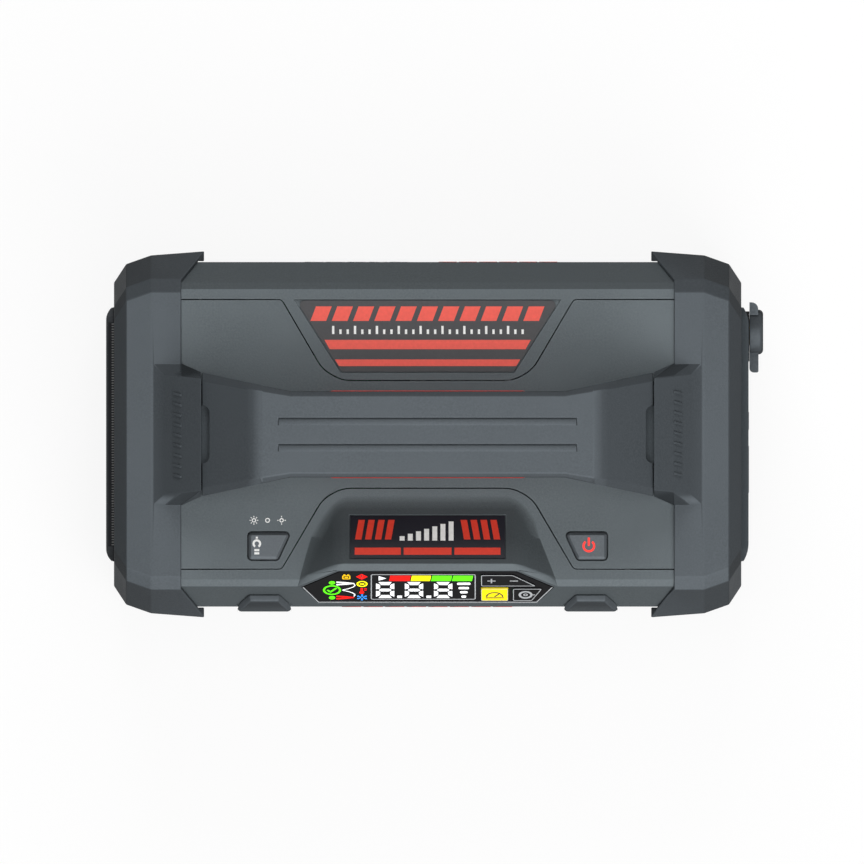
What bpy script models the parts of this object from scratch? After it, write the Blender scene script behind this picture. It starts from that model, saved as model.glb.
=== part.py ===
"""Jump starter pack with a built-in tyre inflator, as an assembly of separate pieces.

Metres, +Z up. The display faces the front (-Y). The lamp is on the left end (-X) and the sockets are on
the right end.
"""
import math

import bmesh
import bpy
from mathutils import Matrix, Vector

# Clearances
GAP = 0.0003                  # between neighbouring pieces
WELD = 0.000001               # merge distance for seams
REACH = 0.3                   # length of a cutter that passes through everything

# Facets of round shapes
LARGE_SIDES = 40
MEDIUM_SIDES = 32
SMALL_SIDES = 20
SCOOP_SIDES = 72
ARC_STEPS = 8

# Body section, seen along X
BODY_LENGTH = 0.184
BODY_DEPTH = 0.1182
DECK_HEIGHT = 0.084
FOOT_HEIGHT = 0.003
SHELL_WALL = 0.0025
DECK_BEVEL_RUN = 0.0023
DECK_BEVEL_DROP = 0.0013
SLOPE_RUN = 0.0069
SLOPE_DEGREES = 58.0
BASE_CHAMFER = 0.005
BASE_HEIGHT = 0.026

# Parting lines on the deck, as distances from the middle
PARTING_IN = 0.0035           # in from the deck's edge
TAB_ROOT = 0.050
TAB_SHOULDER = 0.036
TAB_SHOULDER_Y = 0.0224
TAB_TIP = 0.0295
TAB_EDGE = 0.0186
TAB_ROUND = 0.012
TAB_ROOT_ROUND = 0.002

# Scoop in the deck below the handle
SCOOP_LENGTH = 0.116
SCOOP_HALF = 0.0142
SCOOP_DEPTH = 0.008

# End caps, as stations from the inner edge to the end face
CAP_LAP = 0.0074              # how far the cap's top laps over the body
CAP_WING = 0.0079             # how far the side wings reach past the top edge
CAP_RISE = 0.0015             # cap top above the deck, and cap bottom below the base
CAP_PROUD = 0.0037            # wing face in front of the body wall
CAP_SHOULDER = 0.0029         # first facet line past the body's end
CAP_BROW = 0.0114             # second facet line past the body's end
CAP_REACH = 0.0156            # end face past the body's end
CAP_SHOULDER_IN = 0.0014      # side face drawn in at each station
CAP_BROW_IN = 0.0044
CAP_FACE_IN = 0.0108
CAP_BROW_DROP = 0.0012        # top drawn down at each station
CAP_FACE_DROP = 0.0085
CAP_SKIN = 0.0011             # bevel's lines on the cap, outside the body's
CAP_BEVEL_DROP = 0.0019
CAP_WALL_DROP = 0.0033        # wall's top on the cap, below the body's
CAP_FOOT_RISE = 0.0085
CAP_FOOT_IN = 0.0053
CAP_END_WALL = 0.0027
CAP_CAVITY_IN = 0.008         # inner room of the cap, in from its end face outline

# Handle bridge and the ramps that hold it
HANDLE_HEIGHT = 0.112
HANDLE_THICK = 0.0115
HANDLE_HALF = 0.0148
HANDLE_END_HALF = 0.0212
HANDLE_FLARE = 0.047          # where the flare starts, from the middle
HANDLE_BEND = 0.0595          # where the top bends down
HANDLE_LIP_RISE = 0.0138      # top of its ends above the deck
HANDLE_EDGE = 0.0015
HANDLE_END_EDGE = 0.0029
HANDLE_LEG_TOP = 0.054
HANDLE_LEG_FOOT = 0.066
TENON_LENGTH = 0.006
TENON_IN = 0.004
TENON_SKIN = 0.002            # ramp left above the tenon
SLOT_WIDTH = 0.0029
SLOT_LENGTH = 0.020
SLOT_DEPTH = 0.0018
SLOT_ROUND = 0.0026
GROOVE_LENGTH = 0.1022
GROOVE_WIDTH = 0.0021
GROOVE_SPACING = 0.0090
GROOVE_DEPTH = 0.0007
PAD_LENGTH = 0.080
PAD_THICK = 0.0024
PAD_PROUD = 0.0002
LIP_IN = 0.0069               # ramp lip, inwards of the cap's top edge
LIP_STEP = 0.0022             # ramp lip above the handle
RAMP_LIP_IN = 0.0019          # ramp's top edge, in and out of the handle's end
RAMP_FOOT_OUT = 0.0031
RAMP_WAIST = 0.0012           # top edge out from the lip's, where it starts to curve out
RAMP_WAIST_RUN = 0.0125
RAMP_BASE_OUT = 0.0032        # foot of its sides, out of the handle's end
RAMP_SPREAD = 0.0020
RAMP_RUN = 0.0163

# Display hood and display
HOOD_RISE = 0.008
HOOD_RIDGE_HALF = 0.0312
HOOD_RIDGE_IN = 0.0078        # in from the slope's top edge
HOOD_FOOT_IN = 0.0048         # in from the tab's edge
HOOD_SIDE_HALF = 0.0432
HOOD_SIDE_IN = 0.0033
HOOD_SIDE_RISE = 0.0012
HOOD_TIP_HALF = 0.0446
HOOD_LEDGE = 0.0009
DISPLAY_TIP_IN = 0.0016       # in from the hood's corners
DISPLAY_TOP_IN = 0.0008
DISPLAY_FOOT_IN = 0.0071
DISPLAY_TIP = -0.0006         # heights along the slope, from the deck bevel's edge
DISPLAY_TOP = 0.0094
DISPLAY_FOOT = -0.0104
WINDOW_THICK = 0.0013
BOARD_THICK = 0.0012
LCD_THICK = 0.0007
WELL_FLOOR = 0.0018
WELL_RIM = 0.0007
LCD_RIM = 0.0015              # in from the display's edges and the keys
LCD_FOOT_RIM = 0.0020
LCD_KEY_RIM = 0.00185
LCD_LEFT = -0.0195
KEY_TRAVEL = 0.0005
KEY_PROUD = 0.0003
KEY_STOP = 0.0002             # left below a pressed key
KEY_ROUND = 0.0006
KEY_RIM = 0.0017              # rows of keys, in from the display's edges
KEY_ROW_TOP_FOOT = 0.0007
KEY_ROW_LOW = -0.0011
KEY_LEFT = 0.01835
UNIT_KEY_WIDTH = 0.00925
KEY_SPACE = 0.0017
PUMP_KEY_SIDE = 0.0035        # slanted key ends, in from the display's edge
PUMP_KEY_FOOT_SIDE = 0.0027
ROCKER_SIDE = 0.0033
ROCKER_FOOT_SIDE = 0.0042
ROCKER_PIVOT_IN = 0.0075

# Labels
LABEL_THICK = 0.0004
LABEL_PROUD = 0.0001
CONSOLE_LABEL_HALF = 0.0265
CONSOLE_LABEL_RIM = 0.0021    # in from the hood's ridge
CONSOLE_LABEL_FOOT = 0.0049   # in from the hood's foot
REAR_LABEL_IN = 0.0040        # in from the deck's edge
REAR_LABEL_FOOT_IN = 0.0029   # in from the tab's edge and its slanted sides
REAR_LABEL_SIDE = 0.0045
REAR_LABEL_FOOT_SIDE = 0.0049
LABEL_ROUND = 0.0016

# Deck buttons
BUTTON_LENGTH = 0.0155
BUTTON_DEPTH = 0.0102
BUTTON_IN = 0.0030            # in from the parting line
BUTTON_SIDE = 0.0041          # out from the tab's slanted side
BUTTON_FOOT_SIDE = 0.00295
BUTTON_MOAT = 0.0004
BUTTON_BEVEL = 0.0009
BUTTON_BEVEL_DEPTH = 0.0007
BUTTON_ROUND = 0.0016
BUTTON_PROUD = 0.0005
BUTTON_FLANGE = 0.0009
BUTTON_FLANGE_THICK = 0.0012

# Front guard strips
GUARD_X = 0.056
GUARD_WIDTH = 0.0183
GUARD_FACE = 0.0168
GUARD_TOP_WIDTH = 0.0109
GUARD_PROUD = 0.0017
GUARD_TOP_OUT = 0.0024        # out from the slope's top edge
GUARD_LEDGE = 0.0026          # depth of the flat top
GUARD_SHOULDER_IN = 0.0012    # where its sides meet the slope, in from the wall
GUARD_EDGE = 0.0007           # bevel along the sides of its face
GUARD_NOTCH = 0.0009          # groove in the wall along its sides
GUARD_FOOT_RISE = 0.002       # above the base pan
GUARD_CHAMFER = 0.003

# Feet and base screws
FOOT_RADIUS = 0.007
FOOT_SINK = 0.0012
FOOT_END = 0.024              # in from the body's ends and sides
FOOT_SIDE = 0.0191
SCREW_HEAD = 0.003
SCREW_HEAD_THICK = 0.0012
SCREW_SHANK = 0.0015
SCREW_LENGTH = 0.010
SCREW_END = 0.014
SCREW_SIDE = 0.0111

# Lamp on the left end and port panel on the right end
PANEL_SIDE = 0.0085           # in from the cap's end face
PANEL_NECK_IN = 0.0035
PANEL_ROUND = 0.005
PANEL_BACK_EDGE = 0.0005      # left of a panel's rim at its curved ends
LAMP_CURVE = 0.0043           # how far the end curves run in from the sides
PORT_CURVE = 0.0062
LAMP_RISE = 0.023             # up from the base
LAMP_DROP = 0.011             # down from the end face's top
LAMP_PROUD = 0.0027
LAMP_FRAME = 0.0052
LAMP_SETBACK = 0.0008
LENS_THICK = 0.0018
REFLECTOR_THICK = 0.0024
LED_COUNT = 5
LED_RADIUS = 0.0052
LAMP_BOARD_THICK = 0.0016
PORT_RISE = 0.011
PORT_DROP = 0.007
PORT_PROUD = 0.0025
PORT_NECK = 0.0047
COVER_THICK = 0.0016
OUTLET_SIDE = 0.0084          # in from the panel's side
OUTLET_DROP = 0.001           # below the jump socket's middle
OUTLET_RADIUS = 0.0046
OUTLET_BORE = 0.0030
OUTLET_INNER = 0.0095
OUTLET_OUTER = 0.0026
DUST_CAP_RADIUS = 0.0077
DUST_CAP_LENGTH = 0.0047
DUST_CAP_ROOF = 0.0014
STRAP_THICK = 0.0031
STRAP_WIDTH = 0.006
STRAP_LENGTH = 0.0139
TAB_LENGTH = 0.0102
TAB_THICK = 0.003
JUMP_Y = -0.012
JUMP_RISE = 0.022             # above the row of USB sockets
JUMP_WIDTH = 0.032
JUMP_HEIGHT = 0.015
JUMP_PIN = 0.0048
JUMP_PIN_SPACING = 0.0150
JUMP_DEPTH = 0.014
SOCKET_BACK = 0.003
USB_RISE = 0.011              # up from the panel's foot
USB_A_Y = 0.005
USB_A_WIDTH = 0.0144
USB_A_HEIGHT = 0.0072
USB_C_Y = -0.013
USB_C_WIDTH = 0.0106
USB_C_HEIGHT = 0.0046
USB_WALL = 0.0010
USB_DEPTH = 0.010
COVER_MARGIN = 0.0025

# Battery and electronics
TRAY_END = 0.006              # in from the body's end and sides
TRAY_SIDE = 0.0131
TRAY_RIGHT = 0.016            # from the middle, towards the left
TRAY_RIM = 0.0023             # above the top cell
TRAY_WALL = 0.0016
CELL_COUNT = 4
CELL_THICK = 0.0109
MAIN_BOARD_THICK = 0.0016
RELAY_SIZE = 0.024
RELAY_HEIGHT = 0.014
RELAY_Y = 0.030
CAPACITOR_RADIUS = 0.008
CAPACITOR_HEIGHT = 0.013
CAPACITOR_Y = -0.030

# Compressor
FRAME_END = 0.0397            # in from the body's end
HEAD_CLEAR = 0.0014           # between the cylinder head and the front wall
GEAR_CLEAR = 0.00145          # between the crank gear and the base
MOTOR_LENGTH = 0.058
MOTOR_RADIUS = 0.018
SHAFT_RADIUS = 0.0016
SHAFT_INSIDE = 0.012
FRAME_THICK = 0.004
FRAME_MARGIN = 0.004
GEAR_MODULE = 0.001
PINION_TEETH = 10
GEAR_TEETH = 40
GEAR_WIDTH = 0.005
TOOTH_TIP = 0.75              # tooth heights, in modules
TOOTH_ROOT = 1.15
TOOTH_TIP_SHARE = 0.10        # half widths of a tooth, in pitches
TOOTH_FOOT_SHARE = 0.27
AXLE_RADIUS = 0.003
CRANK_RADIUS = 0.006
CRANK_PIN = 0.002
CRANK_PIN_LENGTH = 0.0035
ROD_THICK = 0.004
ROD_WIDTH = 0.005
ROD_LENGTH = 0.031
ROD_EYE = 0.005
PISTON_RADIUS = 0.0107
PISTON_LENGTH = 0.006
CYLINDER_WALL = 0.0025
CYLINDER_FOOT = 0.012
HEAD_THICK = 0.004
HOSE_RADIUS = 0.0026

# Values that follow from the sizes above
HALF_LENGTH = BODY_LENGTH / 2
HALF_DEPTH = BODY_DEPTH / 2
SLOPE = math.radians(SLOPE_DEGREES)
SLOPE_TOP_Y = HALF_DEPTH - SLOPE_RUN
SLOPE_TOP_Z = DECK_HEIGHT - DECK_BEVEL_DROP
WALL_TOP_Z = SLOPE_TOP_Z - SLOPE_RUN * math.tan(SLOPE)
DECK_HALF = SLOPE_TOP_Y - DECK_BEVEL_RUN
PARTING_Y = DECK_HALF - PARTING_IN
FLOOR_Z = FOOT_HEIGHT + SHELL_WALL + GAP
FOOT_X = HALF_LENGTH - FOOT_END
FOOT_Y = HALF_DEPTH - FOOT_SIDE
SCREW_X = HALF_LENGTH - SCREW_END
SCREW_Y = HALF_DEPTH - SCREW_SIDE
GUARD_TOP_Y = SLOPE_TOP_Y + GUARD_TOP_OUT
GUARD_FOOT = BASE_HEIGHT + GUARD_FOOT_RISE

# End caps and handle
CAP_EDGE_X = HALF_LENGTH - CAP_LAP
CAP_FACE_X = HALF_LENGTH + CAP_REACH
CAP_TOP_Z = DECK_HEIGHT + CAP_RISE
CAP_WALL_TOP_Z = WALL_TOP_Z - CAP_WALL_DROP
CAP_FACE_TOP_Z = CAP_TOP_Z - CAP_FACE_DROP
CAP_FACE_HALF = HALF_DEPTH + CAP_PROUD - CAP_FACE_IN
LIP_X = CAP_EDGE_X - LIP_IN
HANDLE_LIP_Z = DECK_HEIGHT + HANDLE_LIP_RISE
HANDLE_DROP = (HANDLE_HEIGHT - HANDLE_LIP_Z) / (LIP_X - HANDLE_BEND)
LIP_Z = HANDLE_LIP_Z + LIP_STEP
RAMP_DROP = (LIP_Z - CAP_TOP_Z) / RAMP_RUN
RAMP_LIP_HALF = HANDLE_END_HALF - RAMP_LIP_IN
RAMP_FOOT_HALF = HANDLE_END_HALF + RAMP_FOOT_OUT

# Hood, display and keys
HOOD_RIDGE_Y = SLOPE_TOP_Y - HOOD_RIDGE_IN
HOOD_SIDE_Y = SLOPE_TOP_Y - HOOD_SIDE_IN
HOOD_BACK_Y = TAB_EDGE + HOOD_FOOT_IN
HOOD_BACK_ANGLE = math.atan2(HOOD_RISE, HOOD_RIDGE_Y - HOOD_BACK_Y)
CONSOLE_LABEL_TOP = math.hypot(HOOD_RISE, HOOD_RIDGE_Y - HOOD_BACK_Y) - CONSOLE_LABEL_RIM
DISPLAY_TIP_HALF = HOOD_TIP_HALF - DISPLAY_TIP_IN
DISPLAY_TOP_HALF = HOOD_RIDGE_HALF - DISPLAY_TOP_IN
DISPLAY_FOOT_HALF = HOOD_TIP_HALF - DISPLAY_FOOT_IN
KEY_BACK = WINDOW_THICK + LCD_THICK
WELL_DEPTH = KEY_BACK + KEY_TRAVEL + KEY_STOP + BOARD_THICK + GAP
KEY_ROW_TOP = DISPLAY_TOP - KEY_RIM
KEY_ROW_LOW_FOOT = DISPLAY_FOOT + KEY_RIM
UNIT_KEY_RIGHT = KEY_LEFT + UNIT_KEY_WIDTH
PUMP_KEY_LEFT = UNIT_KEY_RIGHT + KEY_SPACE
REAR_LABEL_Y = DECK_HALF - REAR_LABEL_IN
REAR_LABEL_FOOT_Y = TAB_EDGE + REAR_LABEL_FOOT_IN
BUTTON_FOOT_Y = PARTING_Y - BUTTON_IN
BUTTON_TOP_Y = BUTTON_FOOT_Y - BUTTON_DEPTH

# Lamp and ports
PANEL_BACK_X = CAP_FACE_X + GAP
PANEL_HALF = CAP_FACE_HALF - PANEL_SIDE
LAMP_FACE_X = CAP_FACE_X + LAMP_PROUD
LAMP_LOW = FOOT_HEIGHT + LAMP_RISE
LAMP_HIGH = CAP_FACE_TOP_Z - LAMP_DROP
PORT_FACE_X = CAP_FACE_X + PORT_PROUD
PORT_LOW = FOOT_HEIGHT + PORT_RISE
PORT_HIGH = CAP_FACE_TOP_Z - PORT_DROP
USB_Z = PORT_LOW + USB_RISE
JUMP_Z = USB_Z + JUMP_RISE
OUTLET_Y = PANEL_HALF - OUTLET_SIDE
OUTLET_Z = JUMP_Z - OUTLET_DROP
DUST_CAP_X = PORT_FACE_X + GAP
DUST_CAP_BORE = OUTLET_RADIUS + 2 * GAP
ORIGIN_X = (LAMP_FACE_X - DUST_CAP_X - DUST_CAP_LENGTH) / 2

# Battery and compressor
TRAY_LEFT = HALF_LENGTH - TRAY_END
TRAY_HALF = HALF_DEPTH - TRAY_SIDE
TRAY_HEIGHT = TRAY_WALL + GAP + CELL_COUNT * (CELL_THICK + GAP) + TRAY_RIM
GEAR_TIP = GEAR_MODULE * (GEAR_TEETH / 2 + TOOTH_TIP)
CYLINDER_END_Y = SHELL_WALL + HEAD_CLEAR + HEAD_THICK + GAP - HALF_DEPTH
CRANK_Y = CYLINDER_END_Y + 3 * GAP + CRANK_RADIUS + PISTON_LENGTH + ROD_LENGTH
CRANK_Z = FLOOR_Z + GEAR_CLEAR + GEAR_TIP
MOTOR_Y = CRANK_Y + GEAR_MODULE * (GEAR_TEETH + PINION_TEETH) / 2
FRAME_X = HALF_LENGTH - FRAME_END
MOTOR_LEFT = FRAME_X - GAP - MOTOR_LENGTH
GEAR_X = FRAME_X + FRAME_THICK + GAP
ROD_X = GEAR_X + GEAR_WIDTH + CRANK_PIN_LENGTH + GAP


# Building blocks

def finished(shaped):
    """Mesh from a bmesh, with its faces pointing out and its round stretches smooth."""
    shaped.normal_update()
    bmesh.ops.recalc_face_normals(shaped, faces=shaped.faces)
    mesh = bpy.data.meshes.new("solid")
    shaped.to_mesh(mesh)
    shaped.free()
    mesh.shade_smooth()
    mesh.set_sharp_from_angle(angle=math.radians(30))
    return mesh


def turned_to(axis, u, v, w):
    """Point of a drawing (u, v) at a distance w along the axis that the drawing is seen along."""
    if axis == "X":
        return (w, u, v)
    if axis == "Y":
        return (u, w, v)
    return (u, v, w)


def plate(outlines, low, high, axis="Z"):
    """Slab between two places on an axis. The first outline is its edge, and the others are holes."""
    drawing = bpy.data.curves.new("drawing", "CURVE")
    drawing.dimensions = "2D"
    drawing.fill_mode = "BOTH"
    drawing.extrude = 1
    enlarged = 1000
    for outline in outlines:
        spline = drawing.splines.new("POLY")
        spline.points.add(len(outline) - 1)
        spline.use_cyclic_u = True
        for point, (u, v) in zip(spline.points, outline):
            point.co = (u * enlarged, v * enlarged, 0, 1)
    guide = bpy.data.objects.new("drawing", drawing)
    bpy.context.scene.collection.objects.link(guide)
    mesh = bpy.data.meshes.new_from_object(guide.evaluated_get(bpy.context.evaluated_depsgraph_get()))
    bpy.data.objects.remove(guide)
    bpy.data.curves.remove(drawing)
    shaped = bmesh.new()
    shaped.from_mesh(mesh)
    bpy.data.meshes.remove(mesh)
    for vertex in shaped.verts:
        u, v, side = vertex.co
        vertex.co = turned_to(axis, u / enlarged, v / enlarged, high if side > 0 else low)
    bmesh.ops.remove_doubles(shaped, verts=shaped.verts, dist=WELD)
    return finished(shaped)


def box(low, high):
    """Box between two opposite corners."""
    shaped = bmesh.new()
    size = Vector(high) - Vector(low)
    centre = (Vector(high) + Vector(low)) / 2
    bmesh.ops.create_cube(shaped, size=1, matrix=Matrix.Translation(centre) @ Matrix.Diagonal((*size, 1)))
    return finished(shaped)


def cylinder(radius, low, high, axis="Z", centre=(0, 0), sides=MEDIUM_SIDES):
    """Round bar between two places on an axis."""
    shaped = bmesh.new()
    bmesh.ops.create_cone(shaped, cap_ends=True, segments=sides, radius1=radius, radius2=radius, depth=1)
    for vertex in shaped.verts:
        u, v, side = vertex.co
        vertex.co = turned_to(axis, u + centre[0], v + centre[1], high if side > 0 else low)
    return finished(shaped)


def loft(sections):
    """Closed skin through sections that have the same number of points."""
    shaped = bmesh.new()
    rings = [[shaped.verts.new(point) for point in section] for section in sections]
    for near, far in zip(rings, rings[1:]):
        for index in range(len(near)):
            shaped.faces.new((near[index - 1], near[index], far[index], far[index - 1]))
    shaped.faces.new(rings[0])
    shaped.faces.new(rings[-1])
    return finished(shaped)


def hull(points):
    """Smallest convex solid around the points."""
    shaped = bmesh.new()
    for point in points:
        shaped.verts.new(point)
    result = bmesh.ops.convex_hull(shaped, input=shaped.verts)
    spare = set(result["geom_interior"] + result["geom_unused"])
    inner = [item for item in spare if isinstance(item, bmesh.types.BMVert)]
    bmesh.ops.delete(shaped, geom=inner, context="VERTS")
    return finished(shaped)


def rectangle(left, low, right, high):
    return [(left, low), (right, low), (right, high), (left, high)]


def circle(radius, centre=(0, 0), sides=MEDIUM_SIDES):
    turns = [2 * math.pi * step / sides for step in range(sides)]
    return [(centre[0] + radius * math.cos(turn), centre[1] + radius * math.sin(turn)) for turn in turns]


def offset(outline, distance):
    """Counter-clockwise outline moved outwards by a distance, with its corners kept sharp."""
    moved = []
    for index, point in enumerate(outline):
        here = Vector(point)
        first = (here - Vector(outline[index - 1])).normalized()
        second = (Vector(outline[(index + 1) % len(outline)]) - here).normalized()
        outward = Vector((first.y + second.y, -first.x - second.x))
        moved.append(tuple(here + outward * (2 * distance / outward.length_squared)))
    return moved


def rounded(outline, radius, steps=4):
    """Outline with its corners turned into arcs, all by one radius or each by its own."""
    radii = radius if isinstance(radius, list) else [radius] * len(outline)
    soft = []
    for index, (point, radius) in enumerate(zip(outline, radii)):
        if not radius:
            soft.append(point)
            continue
        here = Vector(point)
        back = (Vector(outline[index - 1]) - here).normalized()
        ahead = (Vector(outline[(index + 1) % len(outline)]) - here).normalized()
        half_angle = back.angle(ahead) / 2
        centre = here + (back + ahead).normalized() * (radius / math.sin(half_angle))
        start = here + back * (radius / math.tan(half_angle)) - centre
        end = here + ahead * (radius / math.tan(half_angle)) - centre
        sweep = start.angle_signed(end)
        for step in range(steps + 1):
            turn = -sweep * step / steps
            soft.append(tuple(centre + Matrix.Rotation(turn, 2) @ start))
    return soft


def mirrored(points):
    """Drawing mirrored from right to left, still counter-clockwise."""
    return [(-u, v) for u, v in reversed(points)]


# Scene, materials and pieces

def clear_scene():
    for thing in list(bpy.data.objects):
        bpy.data.objects.remove(thing, do_unlink=True)


def new_collection(name):
    group = bpy.data.collections.new(name)
    bpy.context.scene.collection.children.link(group)
    return group


def linear(channel):
    return channel / 12.92 if channel <= 0.04045 else ((channel + 0.055) / 1.055) ** 2.4


def paint(name, colour, roughness, metallic=0.0):
    """Principled material with a colour written as six hexadecimal digits."""
    material = bpy.data.materials.new(name)
    material.use_nodes = True
    shader = material.node_tree.nodes["Principled BSDF"]
    channels = [linear(int(colour[index:index + 2], 16) / 255) for index in (0, 2, 4)]
    shader.inputs["Base Color"].default_value = (*channels, 1)
    shader.inputs["Roughness"].default_value = roughness
    shader.inputs["Metallic"].default_value = metallic
    return material


def empty(name, parent=None, location=(0, 0, 0), turn=(0, 0, 0)):
    marker = bpy.data.objects.new(name, None)
    PARTS.objects.link(marker)
    marker.parent = parent
    marker.location = location
    marker.rotation_euler = turn
    return marker


def piece(name, mesh, material, parent, location=(0, 0, 0)):
    """One named sub-part. A moving one is built around its joint, which is its location."""
    thing = bpy.data.objects.new(name, mesh)
    PARTS.objects.link(thing)
    mesh.materials.append(material)
    thing.parent = parent
    thing.location = location
    return thing


def combine(thing, mesh, operation, parent=None):
    """Join, cut or trim a piece with another solid, in the piece's own frame or in another parent's."""
    tool = bpy.data.objects.new(thing.name + "_" + operation.lower(), mesh)
    CUTTERS.objects.link(tool)
    tool.parent = parent or thing.parent
    tool.location = (0, 0, 0) if parent else thing.location
    tool.hide_render = True
    tool.display_type = "WIRE"
    step = thing.modifiers.new(operation.title(), "BOOLEAN")
    step.operation = operation
    step.solver = "EXACT"
    step.object = tool


def join(thing, mesh, **place):
    combine(thing, mesh, "UNION", **place)


def cut(thing, mesh, **place):
    combine(thing, mesh, "DIFFERENCE", **place)


def trim(thing, mesh, **place):
    combine(thing, mesh, "INTERSECT", **place)


# Housing

def corners(x, y):
    """Four places around the middle, with the name of each."""
    names = ("front_left", "front_right", "rear_left", "rear_right")
    return zip(names, ((-x, -y), (x, -y), (-x, y), (x, y)))


def flipped(points):
    """Drawing mirrored from rear to front, still counter-clockwise."""
    return [(u, -v) for u, v in reversed(points)]


def body_outline():
    """Section of the closed body, seen along X."""
    right = [
        (HALF_DEPTH - BASE_CHAMFER, FOOT_HEIGHT),
        (HALF_DEPTH, FOOT_HEIGHT + BASE_CHAMFER),
        (HALF_DEPTH, WALL_TOP_Z),
        (SLOPE_TOP_Y, SLOPE_TOP_Z),
        (DECK_HALF, DECK_HEIGHT),
    ]
    return right + mirrored(right)


def shell_section():
    """Section of the rear shell: its wall, slope, bevel and strip of the deck."""
    outer = body_outline()
    inner = offset(outer, -SHELL_WALL)
    foot = BASE_HEIGHT + GAP
    edge = TAB_EDGE - SHELL_WALL
    outside = [(HALF_DEPTH - SHELL_WALL, foot), (HALF_DEPTH, foot), *outer[2:5], (edge, DECK_HEIGHT)]
    return outside + [(edge, DECK_HEIGHT - SHELL_WALL), inner[4], inner[3], inner[2]]


def between(value, start, end, low, high):
    """Value between low and high as a place runs from start to end."""
    share = min(max((value - start) / (end - start), 0), 1)
    return low + (high - low) * share


def tab_half(y):
    """Half width of a shell's tab on the deck, at a distance from the middle."""
    if y < TAB_SHOULDER_Y:
        return between(y, TAB_EDGE, TAB_SHOULDER_Y, TAB_TIP, TAB_SHOULDER)
    return between(y, TAB_SHOULDER_Y, PARTING_Y, TAB_SHOULDER, TAB_ROOT)


def tab_region():
    """Plan of the rear shell up to its parting line. The front shell's plan is its mirror."""
    far = HALF_DEPTH + CAP_PROUD
    end = HALF_LENGTH + CAP_LAP
    left = [(-end, far), (-end, PARTING_Y), (-TAB_ROOT, PARTING_Y)]
    left += [(-TAB_SHOULDER, TAB_SHOULDER_Y), (-TAB_TIP, TAB_EDGE)]
    radii = [0, 0, TAB_ROOT_ROUND, TAB_ROUND, TAB_ROUND]
    return rounded(left + mirrored(left), radii + radii[::-1])


def make_base_pan():
    outer = body_outline()
    inner = offset(outer, -SHELL_WALL)
    wall = HALF_DEPTH - SHELL_WALL
    right = [outer[0], outer[1], (HALF_DEPTH, BASE_HEIGHT), (wall, BASE_HEIGHT), inner[1], inner[0]]
    bar = plate([right + mirrored(right)], -HALF_LENGTH, HALF_LENGTH, "X")
    pan = piece("base_pan", bar, SHELL_GREY, PACK)
    for _, place in corners(FOOT_X, FOOT_Y):
        cut(pan, cylinder(FOOT_RADIUS + GAP, 0, FOOT_HEIGHT + FOOT_SINK + GAP, centre=place))
    for _, place in corners(SCREW_X, SCREW_Y):
        seat = FOOT_HEIGHT + SCREW_HEAD_THICK + GAP
        cut(pan, cylinder(SCREW_HEAD + GAP, 0, seat, centre=place, sides=SMALL_SIDES))
        through = FOOT_HEIGHT + SCREW_LENGTH
        cut(pan, cylinder(SCREW_SHANK + GAP, 0, through, centre=place, sides=SMALL_SIDES))


def make_feet_and_screws():
    for name, place in corners(FOOT_X, FOOT_Y):
        foot = cylinder(FOOT_RADIUS, 0, FOOT_HEIGHT + FOOT_SINK)
        piece("foot_" + name, foot, RUBBER, PACK, (*place, 0))
    for name, place in corners(SCREW_X, SCREW_Y):
        head = cylinder(SCREW_HEAD, 0, SCREW_HEAD_THICK, sides=SMALL_SIDES)
        screw = piece("base_screw_" + name, head, STEEL, PACK, (*place, FOOT_HEIGHT))
        join(screw, cylinder(SCREW_SHANK, SCREW_HEAD_THICK / 2, SCREW_LENGTH, sides=SMALL_SIDES))


def make_rear_shell():
    bar = plate([shell_section()], -HALF_LENGTH, HALF_LENGTH, "X")
    shell = piece("rear_shell", bar, SHELL_GREY, PACK)
    trim(shell, plate([tab_region()], 0, REACH))
    recess = DECK_HEIGHT - LABEL_THICK - GAP + LABEL_PROUD
    cut(shell, plate([offset(rear_label_outline(), GAP)], recess, REACH))


def hood():
    """Raised hood over the deck, with the display in its front and a label on its back."""
    ledge = DISPLAY_TOP + HOOD_LEDGE
    sunk = SHELL_WALL / 2
    half = [
        (HOOD_RIDGE_HALF, -HOOD_RIDGE_Y, DECK_HEIGHT + HOOD_RISE),
        (HOOD_RIDGE_HALF, ledge * math.cos(SLOPE) - SLOPE_TOP_Y, SLOPE_TOP_Z + ledge * math.sin(SLOPE)),
        (HOOD_SIDE_HALF, -HOOD_SIDE_Y, DECK_HEIGHT + HOOD_SIDE_RISE),
        (HOOD_TIP_HALF, -SLOPE_TOP_Y, SLOPE_TOP_Z),
        (HOOD_TIP_HALF, -DECK_HALF, DECK_HEIGHT - sunk),
        (HOOD_RIDGE_HALF, sunk / math.tan(HOOD_BACK_ANGLE) - HOOD_BACK_Y, DECK_HEIGHT - sunk),
    ]
    return hull(half + [(-x, y, z) for x, y, z in half])


def make_front_shell():
    bar = plate([mirrored(shell_section())], -HALF_LENGTH, HALF_LENGTH, "X")
    shell = piece("front_shell", bar, SHELL_GREY, PACK)
    trim(shell, plate([flipped(tab_region())], 0, REACH))
    for x in (-GUARD_X, GUARD_X):
        for notch in guard_notches():
            cut(shell, plate([shifted(notch, (-x, 0))], GUARD_FOOT, REACH))
    join(shell, hood())
    behind = plate([offset(display_outline(), WELL_RIM)], -WELL_DEPTH - WELL_FLOOR, -SHELL_WALL / 4)
    join(shell, behind, parent=DISPLAY)
    cut(shell, plate([offset(display_outline(), GAP)], -WELL_DEPTH, SHELL_WALL), parent=DISPLAY)
    recess = plate([offset(console_label_outline(), GAP)], LABEL_PROUD - LABEL_THICK - GAP, SHELL_WALL)
    cut(shell, recess, parent=HOOD_BACK)


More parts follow.
